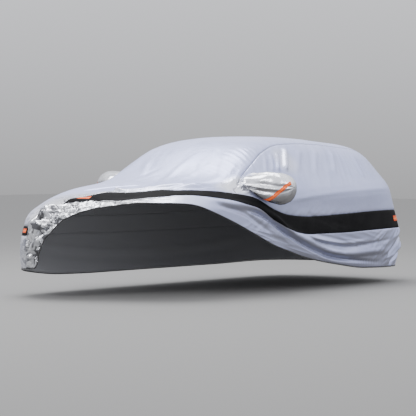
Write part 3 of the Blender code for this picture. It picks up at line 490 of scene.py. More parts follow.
def held_line(knots, values, at):
    """A smooth line through the knots that never swings past them. It runs level beyond the ends."""
    knots, values = np.asarray(knots), np.asarray(values)
    at = np.clip(at, knots[0], knots[-1])
    step = np.diff(knots)
    rise = np.diff(values) / step
    slope = np.zeros_like(values)
    same = rise[:-1] * rise[1:] > 0
    before = (2 * step[1:] + step[:-1])[same]
    after = (step[1:] + 2 * step[:-1])[same]
    slope[1:-1][same] = (before + after) / (before / rise[:-1][same] + after / rise[1:][same])
    i = np.clip(np.searchsorted(knots, at, side="right") - 1, 0, len(knots) - 2)
    t = (at - knots[i]) / step[i]
    start = (1 + 2 * t) * (1 - t) ** 2 * values[i] + t * (1 - t) ** 2 * step[i] * slope[i]
    end = t * t * (3 - 2 * t) * values[i + 1] - t * t * (1 - t) * step[i] * slope[i + 1]
    return start + end


def eased(value, low, high):
    """A smooth step from 0 at low to 1 at high."""
    t = np.clip((value - low) / (high - low), 0.0, 1.0)
    return t * t * (3 - 2 * t)


def section_keys(number):
    """The five key points of the sections at these station numbers. The two sides are alike."""
    keys = np.array([
        [(s.hem_x, s.hem_y, HEM_H), (s.wide_x, s.wide_y, WIDE_H),
         (s.shoulder_x, s.shoulder_y, s.shoulder_h), (s.rail_x, s.rail_y, s.rail_h),
         (s.spine_x, 0.0, s.spine_h)]
        for s in STATIONS
    ])
    other_side = keys * (1, -1, 1)
    run = np.concatenate([other_side[2:0:-1], keys, other_side[-2:-4:-1]])
    return smooth_through(run, np.atleast_1d(number) + 2.0)


STATION_NUMBERS = np.linspace(0, len(STATIONS) - 1, (len(STATIONS) - 1) * SECTION_SAMPLES + 1)
WIDE_LINE = section_keys(STATION_NUMBERS)[:, 1]
WIDE_STEPS = np.linalg.norm(np.diff(WIDE_LINE, axis=0), axis=1)
STATION_ROUNDS = np.concatenate([[0.0], np.cumsum(WIDE_STEPS)])
TAIL = float(STATION_ROUNDS[-1])


@lru_cache(maxsize=None)
def section(length_round):
    """The left section at a length round: points from hem to spine, and their lengths up the cloth."""
    keys = section_keys(np.interp(length_round, STATION_ROUNDS, STATION_NUMBERS))[0]
    runs = []
    start = keys[0]
    for (below, bend, above), radius in zip(zip(keys, keys[1:], keys[2:]), BENDS):
        down, onward = below - bend, above - bend
        radius = min(radius, BEND_SHARE * np.linalg.norm(down), BEND_SHARE * np.linalg.norm(onward))
        enter = bend + down / np.linalg.norm(down) * radius
        leave = bend + onward / np.linalg.norm(onward) * radius
        t = np.linspace(0, 1, BEND_SAMPLES)[:, None]
        runs.append(np.linspace(start, enter, STRAIGHT_SAMPLES)[:-1])
        runs.append(((1 - t) ** 2 * enter + 2 * t * (1 - t) * bend + t * t * leave)[:-1])
        start = leave
    rail, spine = keys[3], keys[4]
    level = (spine - rail) * (1, 1, 0)
    reach = np.linalg.norm(spine - start) / np.linalg.norm(spine - rail)
    crown = spine - level * CROWN * reach
    t = np.linspace(0, 1, CROWN_SAMPLES)[:, None]
    runs.append((1 - t) ** 2 * start + 2 * t * (1 - t) * crown + t * t * spine)
    points = np.concatenate(runs)
    lengths = np.concatenate([[0.0], np.cumsum(np.linalg.norm(np.diff(points, axis=0), axis=1))])
    return points, lengths


def draped(length_round, up):
    """Points of the smooth cloth at one length round and the lengths up in up."""
    points, lengths = section(round(abs(length_round), 6))
    found = np.stack([np.interp(up, lengths, points[:, axis]) for axis in range(3)], axis=-1)
    return found * (1, -1 if length_round < 0 else 1, 1)


def girth(length_round):
    """The length up the cloth from the hem's lowest line to the spine."""
    return section(round(abs(length_round), 6))[1][-1]


def column_rounds():
    """The lengths round of the cloth's columns, from the tail past the right side and the nose."""
    half = [0.0]
    for end, count in {**COLUMNS_TO, TAIL: TAIL_COLUMNS}.items():
        half.extend(np.linspace(half[-1], end, count + 1)[1:])
    return np.array([-r for r in half[:0:-1]] + half)


def row_heights(rounds):
    """The lengths up of every row at each column, each sewn line's row, and the sewn lines."""
    knots = [line.round for line in LINES]
    lines = [held_line(knots, [getattr(line, name) for line in LINES], rounds) for name in ROWS_ABOVE]
    lines.append(np.array([girth(r) for r in rounds]))
    rows, row_of = [lines[0]], {"hem": 0}
    for low, high, (name, count) in zip(lines, lines[1:], ROWS_ABOVE.items()):
        row_of[name] = len(rows) - 1
        rows.extend(low + (high - low) * step / count for step in range(1, count + 1))
    return np.stack(rows, axis=1), row_of, dict(zip(ROWS_ABOVE, lines))


def fold_heights():
    """How far the folds stand out from the smooth cloth at each place."""
    heights = np.zeros(UPS.shape)
    for fold in FOLDS:
        path = smooth_through(np.array(fold.path), np.linspace(0, len(fold.path) - 1, FOLD_SAMPLES))
        low, high = path.min(axis=0) - fold.width, path.max(axis=0) + fold.width
        near = (ACROSS > low[0]) & (ACROSS < high[0]) & (UPS > low[1]) & (UPS < high[1])
        gaps = np.hypot(ACROSS[near, None] - path[:, 0], UPS[near, None] - path[:, 1])
        along = np.argmin(gaps, axis=-1) / (FOLD_SAMPLES - 1)
        off = np.clip(np.min(gaps, axis=-1) / fold.width, 0, 1)
        ends = eased(along, *FOLD_RISE) * eased(1 - along, *FOLD_RISE)
        heights[near] += fold.height * (np.cos(off * math.pi / 2) ** 2) ** fold.sharp * ends
    return heights


def noise_at(coordinates):
    """Smooth noise between -1 and 1 at rows of three coordinates."""
    return np.array([noise.noise(Vector(spot)) for spot in coordinates])


def wrinkle_heights():
    """The finer wrinkles of each patch, and the slow swell that no hung cloth is without."""
    heights = np.zeros(UPS.shape)
    for number, patch in enumerate(WRINKLE_PATCHES):
        aside, above = ACROSS - patch.round, UPS - patch.up
        share = 1 - np.hypot(aside / patch.reach_round, above / patch.reach_up)
        inside = share > 0
        cos, sin = math.cos(math.radians(patch.angle)), math.sin(math.radians(patch.angle))
        along = (aside * cos + above * sin)[inside] / patch.length
        over = (above * cos - aside * sin)[inside] / patch.pitch
        slices = np.full(along.shape, WRINKLE_SLICE * number)
        ridge = 1 - 2 * np.abs(noise_at(np.stack([along, over, slices], axis=-1)))
        heights[inside] += patch.height * ridge * np.abs(ridge) * eased(share[inside], 0.0, WRINKLE_FADE)
    spots = np.stack([ACROSS / SWELL_SIZE, UPS / SWELL_SIZE, np.full(UPS.shape, SWELL_SLICE)], axis=-1)
    heights += SWELL_HEIGHT * noise_at(spots.reshape(-1, 3)).reshape(UPS.shape)
    return heights


def corner_share(ups, right, left, top):
    """1 on the front right corner, fading between the two numbers of each of its sides."""
    return eased(ACROSS, *right) * (1 - eased(ACROSS, *left)) * (1 - eased(ups, *top))


def crumple_heights():
    """The crushed cloth of the front right corner, and how near each of its places is to a crease."""
    over_band = UPS - SEWN_UPS["left_low"][:, None]
    share = corner_share(over_band, CRUMPLE_RIGHT, CRUMPLE_LEFT, CRUMPLE_BELOW_BAND)
    share *= CRUMPLE_AT_HEM + (1 - CRUMPLE_AT_HEM) * eased(UPS - UPS[:, :1], 0.0, CRUMPLE_HEM)
    across, above = ACROSS[share > 0], UPS[share > 0]
    heights, creases = np.zeros(UPS.shape), np.zeros(UPS.shape)
    for number, crumple in enumerate(CRUMPLES):
        cos, sin = math.cos(math.radians(crumple.angle)), math.sin(math.radians(crumple.angle))
        spots = np.stack([
            (across * cos + above * sin) / crumple.length,
            (above * cos - across * sin) / crumple.width,
            np.full(across.shape, CRUMPLE_SLICE * number),
        ], axis=-1)
        bends = [noise_at(spots * CRUMPLE_BEND_PITCH + shift) for shift in CRUMPLE_BEND_SHIFTS]
        spots[:, :2] += CRUMPLE_BEND * np.stack(bends, axis=-1)
        off = np.abs(noise_at(spots))
        rise = off - CRUMPLE_LEVEL if crumple.creased else CRUMPLE_LEVEL - off
        heights[share > 0] += crumple.height * rise * 2
        if crumple.creased:
            creases[share > 0] = np.maximum(creases[share > 0], 1 - off / CREASE_REACH)
    return heights * share, creases * share


def foil_share(crushed):
    """How far the cloth shines as foil at each place, where it is crushed or pulled tight."""
    share = crushed
    for shine in SHINES:
        off = np.hypot((ACROSS - shine.round) / shine.reach_round, (UPS - shine.up) / shine.reach_up)
        share = np.maximum(share, shine.most * (1 - eased(off, *SHINE_FADE)))
    return share


def joined(values):
    """The same values, made alike at the places that meet over the spine and at the tail."""
    values[:, -1] = (values[:, -1] + values[::-1, -1]) / 2
    values[0] = values[-1] = (values[0] + values[-1]) / 2
    return values


def outward(points):
    """Unit normals of the grid. At the two ends of the spine, the row below gives them."""
    normals = np.cross(np.gradient(points, axis=0), np.gradient(points, axis=1))
    for column in (0, len(points) // 2, -1):
        normals[column, -1] = normals[column, -2]
    normals = joined(normals / np.linalg.norm(normals, axis=-1, keepdims=True))
    return normals / np.linalg.norm(normals, axis=-1, keepdims=True)


ROUNDS = column_rounds()
UPS, ROW_OF, SEWN_UPS = row_heights(ROUNDS)
ACROSS = np.broadcast_to(ROUNDS[:, None], UPS.shape)
TOP, SIDE_LEFT, SIDE_RIGHT, BAND_LEFT, BAND_RIGHT, SKIRT_LEFT, SKIRT_RIGHT, HOLE = range(8)
PANEL_ORDER = (
    "top_panel", "side_left", "side_right", "band_left", "band_right", "skirt_left", "skirt_right",
)


def pocket_share(pocket, length_round, up):
    """1 on a pocket's sewn rim, and less inside it."""
    ahead = pocket.round - pocket.side * length_round
    reach = np.where(ahead > 0, POCKET_RIM.front_reach, POCKET_RIM.back_reach)
    return np.hypot(ahead / reach, (up - POCKET_UP) / POCKET_RIM.half_height)


def panel_cells():
    """The number of the panel that has each cell of the cloth, or HOLE under a mirror pocket."""
    middle = ((ROUNDS[1:] + ROUNDS[:-1]) / 2)[:, None]
    row = np.arange(UPS.shape[1] - 1)[None, :]
    left = middle > 0
    reach = np.abs(middle)
    band_top = np.where(left, ROW_OF["left_high"], ROW_OF["right_high"])
    band_foot = np.where(left, ROW_OF["left_low"], ROW_OF["right_low"])
    skirt_front = np.where(left, LEFT_BAND_FRONT, RIGHT_BAND_FRONT)
    cells = np.full((len(middle), row.size), TOP)
    flank = (reach > SIDE_FRONT) & (reach < SIDE_BACK) & (row >= band_top) & (row < ROW_OF["seam"])
    cells = np.where(flank, np.where(left, SIDE_LEFT, SIDE_RIGHT), cells)
    below = (reach > skirt_front) & (reach < BAND_BACK) & (row < band_foot)
    cells = np.where(below, np.where(left, SKIRT_LEFT, SKIRT_RIGHT), cells)
    on_left_band = (middle > -LEFT_BAND_FRONT) & (middle < BAND_BACK)
    on_left_band = on_left_band & (row >= ROW_OF["left_low"]) & (row < ROW_OF["left_high"])
    cells = np.where(on_left_band, BAND_LEFT, cells)
    on_right_band = (middle < -RIGHT_BAND_FRONT) & (middle > -BAND_BACK)
    on_right_band = on_right_band & (row >= ROW_OF["right_low"]) & (row < ROW_OF["right_high"])
    cells = np.where(on_right_band, BAND_RIGHT, cells)
    ups = (UPS[1:, 1:] + UPS[:-1, :-1]) / 2
    for pocket in POCKETS.values():
        cells = np.where(pocket_share(pocket, middle, ups) < POCKET_HOLE_SHARE, HOLE, cells)
    return cells


CELLS = panel_cells()


def seam_gaps():
    """How far each place lies from the nearest seam of its panel, along or across the cloth."""
    gaps = np.full(UPS.shape, NO_SEAM_NEAR)
    for axis in (0, 1):
        changes = np.argwhere(np.diff(CELLS, axis=axis) != 0)
        sewn = np.zeros(UPS.shape, bool)
        for step in (0, 1):
            places = changes + (1 - axis, axis) + (axis * step, (1 - axis) * step)
            sewn[tuple(places.T)] = True
        lengths = ACROSS if axis == 0 else UPS
        for line in (range(UPS.shape[1]) if axis == 0 else range(UPS.shape[0])):
            at = (slice(None), line) if axis == 0 else (line, slice(None))
            knots = lengths[at][sewn[at]]
            if len(knots):
                gaps[at] = np.minimum(gaps[at], np.abs(lengths[at][:, None] - knots).min(axis=1))
    return gaps


SEAM_GAPS = seam_gaps()


def seam_heights():
    """How far each seam draws the cloth in, with small puckers along it."""
    near = 1 - eased(SEAM_GAPS, 0.0, SEAM_REACH)
    wide = 1 - eased(SEAM_GAPS, 0.0, PUCKER_REACH)
    slices = np.full(UPS.shape, PUCKER_SLICE)
    spots = np.stack([ACROSS / PUCKER_PITCH, UPS / PUCKER_PITCH, slices], axis=-1)
    puckers = np.zeros(UPS.shape)
    puckers[wide > 0] = noise_at(spots[wide > 0])
    return PUCKER_HEIGHT * puckers * wide - SEAM_DRAW * near


SMOOTH = np.array([draped(r, up) for r, up in zip(ROUNDS, UPS)])
SPINE_SHARE = eased(UPS[:, -1:] - UPS, 0.0, SPINE_FADE)
CRUMPLED, CREASES = crumple_heights()
STANDS_OUT = fold_heights() + CRUMPLED + wrinkle_heights() + seam_heights()
STANDS_OUT = joined(STANDS_OUT * SPINE_SHARE)
DRAPED = SMOOTH + outward(SMOOTH) * STANDS_OUT[..., None]
OUTWARD = outward(DRAPED)
CRUSHED = corner_share(UPS, FOIL_RIGHT, FOIL_LEFT, FOIL_TOP)
FOIL = foil_share(CRUSHED)
# How far each place is painted with shade for facing the ground.
UNDER_SHADE = eased(-OUTWARD[..., 2], *UNDER_SHADE_LEAN)


def read_grid(values, column, row):
    """The values of a grid read between its places."""
    i = np.clip(np.floor(column).astype(int), 0, values.shape[0] - 2)
    j = np.clip(np.floor(row).astype(int), 0, values.shape[1] - 2)
    s, t = (column - i)[..., None], (row - j)[..., None]
    low = values[i, j] * (1 - t) + values[i, j + 1] * t
    high = values[i + 1, j] * (1 - t) + values[i + 1, j + 1] * t
    return low * (1 - s) + high * s


def on_cloth(rounds, ups):
    """Points and outward normals of the draped cloth at the places in two arrays of one shape."""
    column = np.interp(rounds, ROUNDS, np.arange(len(ROUNDS)))
    i = np.clip(np.floor(column).astype(int), 0, len(ROUNDS) - 2)
    share = column - i
    row = np.empty(ups.shape)
    for spot in np.ndindex(ups.shape):
        heights = UPS[i[spot]] * (1 - share[spot]) + UPS[i[spot] + 1] * share[spot]
        row[spot] = np.interp(ups[spot], heights, np.arange(len(heights)))
    normals = read_grid(OUTWARD, column, row)
    return read_grid(DRAPED, column, row), normals / np.linalg.norm(normals, axis=-1, keepdims=True)


def mapped_sheet(points, lengths, keep=None, **shares):
    """A bmesh sheet with a vertex at each place of a grid of points, laid from a flat grid.

    lengths are the places along the cloth in metres and become its UV map. keep says which cells
    stay, and shares are further numbers of each place, kept as attributes by their names."""
    columns, rows = points.shape[0] - 1, points.shape[1] - 1
    bm = bmesh.new()
    layers = {name: bm.verts.layers.float.new(name) for name in shares}
    place = bm.verts.layers.int.new("place")
    cloth_uv = bm.loops.layers.uv.new("cloth")
    bmesh.ops.create_grid(bm, x_segments=columns, y_segments=rows, size=0.5)
    for vertex in bm.verts:
        i, j = round((vertex.co.x + 0.5) * columns), round((vertex.co.y + 0.5) * rows)
        vertex[place] = i * (rows + 1) + j
        for name, layer in layers.items():
            vertex[layer] = shares[name][i, j]
    if keep is not None:
        waste = []
        for face in bm.faces:
            centre = face.calc_center_median()
            if not keep[int((centre.x + 0.5) * columns), int((centre.y + 0.5) * rows)]:
                waste.append(face)
        bmesh.ops.delete(bm, geom=waste, context="FACES")
    for face in bm.faces:
        for loop in face.loops:
            loop[cloth_uv].uv = lengths[divmod(loop.vert[place], rows + 1)]
    flat_points = points.reshape(-1, 3)
    for vertex in bm.verts:
        vertex.co = flat_points[vertex[place]]
    return bm


def flat_lengths(first, second):
    """The places along a flat piece at each column and row, for its UV map."""
    return np.stack(np.meshgrid(first, second, indexing="ij"), axis=-1)


def new_piece(name, bm, materials, node, thickness=None):
    """Makes a shown piece of a bmesh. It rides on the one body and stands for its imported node."""
    bmesh.ops.remove_doubles(bm, verts=bm.verts, dist=WELD)
    mesh = bpy.data.meshes.new(name)
    bm.to_mesh(mesh)
    bm.free()
    mesh.shade_smooth()
    piece = bpy.data.objects.new(name, mesh)
    bpy.context.collection.objects.link(piece)
    for material in materials:
        mesh.materials.append(material)
    if thickness:
        wall = piece.modifiers.new("cloth thickness", "SOLIDIFY")
        wall.thickness = thickness
        wall.offset = -1.0
        wall.material_offset = len(materials) - 1
    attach(piece, "root")
    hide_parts(node)
    return piece


def cut_panel(name, node, materials):
    """One panel of the cover, cut from the draped cloth along its seams."""
    keep = CELLS == PANEL_ORDER.index(node)
    columns, rows = np.flatnonzero(keep.any(axis=1)), np.flatnonzero(keep.any(axis=0))
    part = (slice(columns[0], columns[-1] + 2), slice(rows[0], rows[-1] + 2))
    cells = (slice(columns[0], columns[-1] + 1), slice(rows[0], rows[-1] + 1))
    lengths = np.stack([ACROSS, UPS], axis=-1)
    bm = mapped_sheet(placed(DRAPED[part]), lengths[part], keep[cells], foil=FOIL[part],
                      crushed=CRUSHED[part], crease=CREASES[part], dull=UNDER_SHADE[part],
                      seam_gap=SEAM_GAPS[part])
    return new_piece(name, bm, materials, node, CLOTH_THICKNESS)


def around_pocket(pocket, angles):
    """The lengths round and up of a pocket's rim, at angles from straight ahead and turning upward."""
    ahead, above = np.cos(np.radians(angles)), np.sin(np.radians(angles))
    reach = np.where(ahead > 0, POCKET_RIM.front_reach, POCKET_RIM.back_reach)
    rounds = pocket.side * (pocket.round - reach * ahead)
    return rounds, POCKET_UP + POCKET_RIM.half_height * above


def pocket_grid(pocket):
    """The sleeve's places from its rim to its tip, one column for each angle, and those angles."""
    angles = -360 * pocket.side * np.arange(POCKET_SIDES + 1) / POCKET_SIDES
    middle = draped(pocket.side * pocket.round, POCKET_UP)
    rims, normals = on_cloth(*around_pocket(pocket, angles))
    rims = rims + normals * SLEEVE_LIFT
    steps = np.linspace(0, len(POCKET_RINGS), POCKET_STEPS + 1)
    columns = []
    for angle, rim in zip(angles, rims):
        ahead, above = math.cos(math.radians(angle)), math.sin(math.radians(angle))
        rings = [rim]
        for ring in POCKET_RINGS:
            reach = ring.front_reach if ahead > 0 else ring.back_reach
            forward = reach * ahead - ring.back * pocket.back_share
            upward = ring.half_height * above + ring.lift
            lean = (rim - middle - (forward, 0.0, upward)) * ring.rim_share
            rings.append(middle + (forward, pocket.side * ring.out, upward) + lean)
        columns.append(smooth_through(np.array(rings), steps))
    points = np.array(columns)
    points[-1] = points[0]
    return points, angles


def tube_normals(points):
    """Unit normals of a tube's grid of points, whose first and last columns are the same."""
    around = np.roll(points[:-1], -1, axis=0) - np.roll(points[:-1], 1, axis=0)
    normals = np.cross(np.concatenate([around, around[:1]]), np.gradient(points, axis=1))
    return normals / np.maximum(np.linalg.norm(normals, axis=-1, keepdims=True), 1e-9)


def gathered(points, angles):
    """The sleeve with its gathers, which run in from the front of its rim, and with its dents."""
    share = np.linspace(0, 1, points.shape[1])[None, :]
    turn = np.radians(angles)[:, None]
    front = np.maximum(0.0, np.cos(turn)) ** PLEAT_FRONT
    waves = np.cos(turn * PLEAT_COUNT + PLEAT_SWAY * np.sin(PLEAT_SWAYS * turn))
    pleats = waves * front * (1 - share) ** PLEAT_RUNOUT * eased(share, 0.0, PLEAT_START)
    dents = np.zeros(points.shape[:2])
    for size, height in DENTS:
        waves = noise_at((points / size).reshape(-1, 3)).reshape(dents.shape)
        dents += height * (DENT_LEVEL - 2 * np.abs(waves)) * eased(share, 0.0, DENT_START)
    dents *= 1 - eased(share, DENT_END, 1.0)
    heights = PLEAT_DEPTH * pleats + dents
    heights[-1] = heights[0]
    return points + tube_normals(points) * heights[..., None]


def new_pocket(side, pocket, foil, lining):
    """A mirror sleeve, and what its tape is laid on: its surface, its places and their angles."""
    points, angles = pocket_grid(pocket)
    points = placed(gathered(points, angles))
    columns, rows = points.shape[:2]
    lengths = flat_lengths(np.linspace(0, POCKET_GIRTH, columns), np.linspace(0, POCKET_RUN, rows))
    bm = mapped_sheet(points, lengths, dull=eased(-tube_normals(points)[..., 2], *SLEEVE_UNDER_SHADE_LEAN))
    surface = BVHTree.FromBMesh(bm)
    name = "mirror_sleeve_" + side
    node = "mirror_pocket_" + side
    piece = new_piece(name, bm, [foil, lining], node, CLOTH_THICKNESS)
    return piece, surface, points, angles


def new_tape(name, node, points, normals, run, tape):
    """A reflective tape on a grid of points and their normals."""
    points = points + normals * (TAPE_LIFT + TAPE_THICKNESS)
    lengths = flat_lengths(np.linspace(0, run, points.shape[0]), np.linspace(0, 1, points.shape[1]))
    new_piece(name, mapped_sheet(points, lengths), [tape], node, TAPE_THICKNESS)


def new_band_tape(name, place, tape):
    """A tape that lies along its band."""
    shares = np.linspace(0, 1, TAPE_COLUMNS + 1)[:, None]
    asides = np.linspace(-0.5, 0.5, TAPE_ROWS + 1)[None, :]
    (start, start_up), (end, end_up) = sorted((place.start, place.end))
    rounds = start + (end - start) * shares + 0 * asides
    ups = start_up + (end_up - start_up) * shares + place.width * asides
    points, normals = on_cloth(rounds, ups)
    new_tape("reflective_" + name, "reflector_" + name, placed(points), normals, end - start, tape)


def new_sleeve_tape(side, surface, points, angles, tape):
    """The tape that crosses a sleeve's front from its foot, near the panel, to the top of its tip."""
    steps = np.linspace(0, len(POCKET_TAPE_PATH) - 1, TAPE_COLUMNS + 1)
    path = smooth_through(np.array(POCKET_TAPE_PATH), steps)
    turns = (path[:, 0] / (angles[1] - angles[0])) % (len(angles) - 1)
    spots = read_grid(points, turns, path[:, 1] / len(POCKET_RINGS) * POCKET_STEPS)
    normals = read_grid(tube_normals(points), turns, path[:, 1] / len(POCKET_RINGS) * POCKET_STEPS)
    for _ in range(POCKET_TAPE_SMOOTHINGS):
        spots[1:-1] = (spots[:-2] + 2 * spots[1:-1] + spots[2:]) / 4
        normals[1:-1] = (normals[:-2] + 2 * normals[1:-1] + normals[2:]) / 4
    across = np.cross(normals, np.gradient(spots, axis=0))
    across /= np.linalg.norm(across, axis=-1, keepdims=True)
    asides = np.linspace(-0.5, 0.5, TAPE_ROWS + 1)[None, :, None]
    grid = spots[:, None] + across[:, None] * asides * POCKET_TAPE_WIDTH
    seats = np.empty(grid.shape)
    for i, j in np.ndindex(grid.shape[:2]):
        start = Vector(grid[i, j] + normals[i] * PROBE)
        seats[i, j] = surface.ray_cast(start, Vector(-normals[i]), 2 * PROBE)[0] or grid[i, j]
    run = float(np.linalg.norm(np.diff(spots, axis=0), axis=1).sum())
    directions = np.broadcast_to(normals[:, None], seats.shape)
    new_tape("reflective_sleeve_" + side, "reflector_pocket_" + side, seats, directions, run, tape)


def new_binding(cord):
    """The corded black edge that runs all round under the hem."""
    hem, out = DRAPED[:, 0], OUTWARD[:, 0]
    onward = np.roll(hem[:-1], -1, axis=0) - np.roll(hem[:-1], 1, axis=0)
    below = np.cross(np.concatenate([onward, onward[:1]]), out)
    below /= np.linalg.norm(below, axis=-1, keepdims=True)
    middle = placed(hem - out * CLOTH_THICKNESS / 2 + below * (BINDING_RADIUS + BINDING_GAP))
    turns = np.linspace(0, 2 * math.pi, BINDING_SIDES + 1)[None, :, None]
    circle = np.cos(turns) * out[:, None] + np.sin(turns) * below[:, None]
    points = middle[:, None] + BINDING_RADIUS * circle
    points[:, -1] = points[:, 0]
    lengths = flat_lengths(ROUNDS, np.linspace(0, 2 * math.pi * BINDING_RADIUS, BINDING_SIDES + 1))
    bm = mapped_sheet(points, lengths)
    bmesh.ops.remove_doubles(bm, verts=bm.verts, dist=WELD)
    bmesh.ops.recalc_face_normals(bm, faces=bm.faces)
    return new_piece("hem_cord", bm, [cord], "hem_binding")


def node(tree, kind, settings=None, **inputs):
    """Adds a shader node. settings are its own options, and inputs are set or linked by their names,
    or by i and their numbers."""
    made = tree.nodes.new("ShaderNode" + kind)
    for key, value in (settings or {}).items():
        setattr(made, key, value)
    for key, value in inputs.items():
        numbered = key[0] == "i" and key[1:].isdigit()
        socket = made.inputs[int(key[1:]) if numbered else key.replace("_", " ")]
        if isinstance(value, bpy.types.NodeSocket):
            tree.links.new(value, socket)
        else:
            socket.default_value = value
    return made


def maths(tree, operation, first, second=0.0):
    return node(tree, "Math", {"operation": operation}, i0=first, i1=second).outputs[0]


def ranged(tree, value, low, high, to_low=0.0, to_high=1.0):
    """A smooth step from to_low, where the value is low, to to_high, where it is high."""
    return node(tree, "MapRange", {"interpolation_type": "SMOOTHSTEP"},
                i0=value, i1=low, i2=high, i3=to_low, i4=to_high).outputs[0]


def blended(tree, share, first, second):
    """A mix of two colours, which may be named colours of three numbers."""
    first, second = ((*value, 1.0) if isinstance(value, tuple) else value for value in (first, second))
    return node(tree, "Mix", {"data_type": "RGBA"}, i0=share, i6=first, i7=second).outputs[2]


def clouds(tree, uv, kind, output="Fac"):
    """A soft noise, as a share or as a colour."""
    return node(tree, "TexNoise", Vector=uv, Scale=kind.scale, Detail=kind.detail,
                Roughness=kind.roughness, Distortion=kind.distortion).outputs[output]


def share_of(tree, name):
    """One of the numbers that each place of the cloth was given."""
    return node(tree, "Attribute", {"attribute_name": name}).outputs["Fac"]


def bumped(tree, height, distance, strength, normal=None):
    """A relief that is so many metres high where its height is 1, laid over another one if given."""
    below = {} if normal is None else {"Normal": normal}
    return node(tree, "Bump", Height=height, Distance=distance, Strength=strength, **below).outputs[0]


def new_material(name, colour, roughness, metallic=0.0, sheen=0.0, gloss=0.5):
    """A material, and what its nodes are added to: its tree, its shader and its cloth UV."""
    material = bpy.data.materials.new(name)
    material.use_nodes = True
    tree = material.node_tree
    shader = tree.nodes["Principled BSDF"]
    shader.inputs["Base Color"].default_value = (*colour, 1.0)
    shader.inputs["Roughness"].default_value = roughness
    shader.inputs["Metallic"].default_value = metallic
    shader.inputs["Specular IOR Level"].default_value = gloss
    shader.inputs["Sheen Weight"].default_value = sheen
    shader.inputs["Sheen Roughness"].default_value = 0.5
    uv = node(tree, "UVMap", {"uv_map": "cloth"}).outputs[0]
    return material, tree, shader, uv


def feed(tree, shader, **sockets):
    """Links what drives each named socket of the shader."""
    for name, source in sockets.items():
        tree.links.new(source, shader.inputs[name.replace("_", " ")])


def woven(tree, uv):
    """The height of a plain weave."""
    waves = [
        node(tree, "TexWave", {"wave_type": "BANDS", "bands_direction": way, "wave_profile": "SIN"},
             Vector=uv, Scale=WAVE_LENGTH / WEAVE_PITCH, Distortion=WEAVE_SWAY,
             Detail=1.0).outputs["Fac"]
        for way in ("X", "Y")
    ]
    return maths(tree, "MULTIPLY", *waves)


def foil_facets(tree, uv):
    """The flat, sharp-edged facets of crushed foil, as a share that steps from one to the next."""
    drift = clouds(tree, uv, FACET_DRIFT, "Color")
    pushed = node(tree, "VectorMath", {"operation": "MULTIPLY_ADD"}, i0=drift, i1=FACET_PUSH, i2=uv)
    turned = node(tree, "Mapping", Vector=pushed.outputs[0],
                  Rotation=(0.0, 0.0, FACET_TURN), Scale=FACET_STRETCH)
    cells = node(tree, "TexVoronoi", {"feature": "F1"}, Vector=turned.outputs[0], Scale=FACET_SCALE)
    return node(tree, "SeparateXYZ", Vector=cells.outputs["Color"]).outputs["X"]


def silver_cloth():
    """Silver-coated cloth. It is drawn tight and satin over most of the cover, and bright as foil
    where it is pushed up at the front right corner and pulled tight beside the left mirror pocket."""
    material, tree, shader, uv = new_material(
        "silver_coated_cloth", SILVER, roughness=0.42, metallic=SILVER_METAL)
    foil, crushed, facets = share_of(tree, "foil"), share_of(tree, "crushed"), foil_facets(tree, uv)
    cool = blended(tree, ranged(tree, clouds(tree, uv, SILVER_TONE), 0.30, 0.70), SILVER_SHADE, SILVER)
    # Cloth that faces the ground is painted darker: painted shade.
    cool = blended(tree, maths(tree, "MULTIPLY", share_of(tree, "dull"), 0.75), cool, UNDER_SHADE_COLOUR)
    # Facets of the crushed corner are painted dark by turns, and its creases darker still: painted shade and
    # painted dark reflections.
    shaded = maths(tree, "MULTIPLY", ranged(tree, facets, 0.10, 0.55, 1.0, 0.0), crushed)
    facet_shaded = blended(tree, shaded, FOIL_SILVER, FOIL_FACET_SHADE)
    crease_shaded = blended(tree, ranged(tree, share_of(tree, "crease"), 0.0, 0.9), facet_shaded, CREASE_SHADE)
    seam = ranged(tree, share_of(tree, "seam_gap"), 0.0, SEAM_LINE, 0.62, 0.0)
    rubbed = ranged(tree, clouds(tree, uv, SILVER_RUB), 0.25, 0.75, 0.34, 0.44)
    normal = bumped(tree, clouds(tree, uv, SILVER_BUCKLE), distance=0.010, strength=0.22)
    strength = maths(tree, "MULTIPLY", crushed, 0.35)
    normal = bumped(tree, facets, distance=0.012, strength=strength, normal=normal)
    crinkle = clouds(tree, uv, SILVER_CRINKLE)
    normal = bumped(tree, crinkle, distance=0.004, strength=0.26, normal=normal)
    feed(tree, shader,
         Base_Color=blended(tree, seam, blended(tree, foil, cool, crease_shaded), SEAM_SHADE),
         Roughness=maths(tree, "SUBTRACT", rubbed, maths(tree, "MULTIPLY", foil, 0.24)),
         Metallic=ranged(tree, foil, 0.0, 1.0, SILVER_METAL, FOIL_METAL),
         Normal=bumped(tree, woven(tree, uv), distance=0.0006, strength=0.12, normal=normal))
    return material


def foil_cloth():
    """The brighter foil-coated cloth of the mirror sleeves."""
    material, tree, shader, uv = new_material(
        "foil_coated_cloth", FOIL_SILVER, roughness=0.24, metallic=0.92)
    tone = clouds(tree, uv, FOIL_TONE)
    colour = blended(tree, ranged(tree, tone, 0.3, 0.7), FOIL_SHADE, FOIL_SILVER)
    # Sleeve cloth that faces the ground is painted darker: painted shade.
    dull = maths(tree, "MULTIPLY", share_of(tree, "dull"), 0.85)
    normal = bumped(tree, clouds(tree, uv, FOIL_CRINKLE), distance=0.004, strength=0.25)
    feed(tree, shader,
         Base_Color=blended(tree, dull, colour, UNDER_SHADE_COLOUR),
         Roughness=ranged(tree, tone, 0.3, 0.7, 0.16, 0.28),
         Normal=bumped(tree, woven(tree, uv), distance=0.0005, strength=0.12, normal=normal))
    return material


def lining_cloth():
    """The plain back of the cloth."""
    material, tree, shader, uv = new_material("cloth_back", LINING, roughness=0.75, sheen=0.20)
    fibre = clouds(tree, uv, BACK_FIBRE)
    feed(tree, shader,
         Base_Color=blended(tree, fibre, LINING_SHADE, LINING),
         Normal=bumped(tree, fibre, distance=0.0012, strength=0.4))
    return material


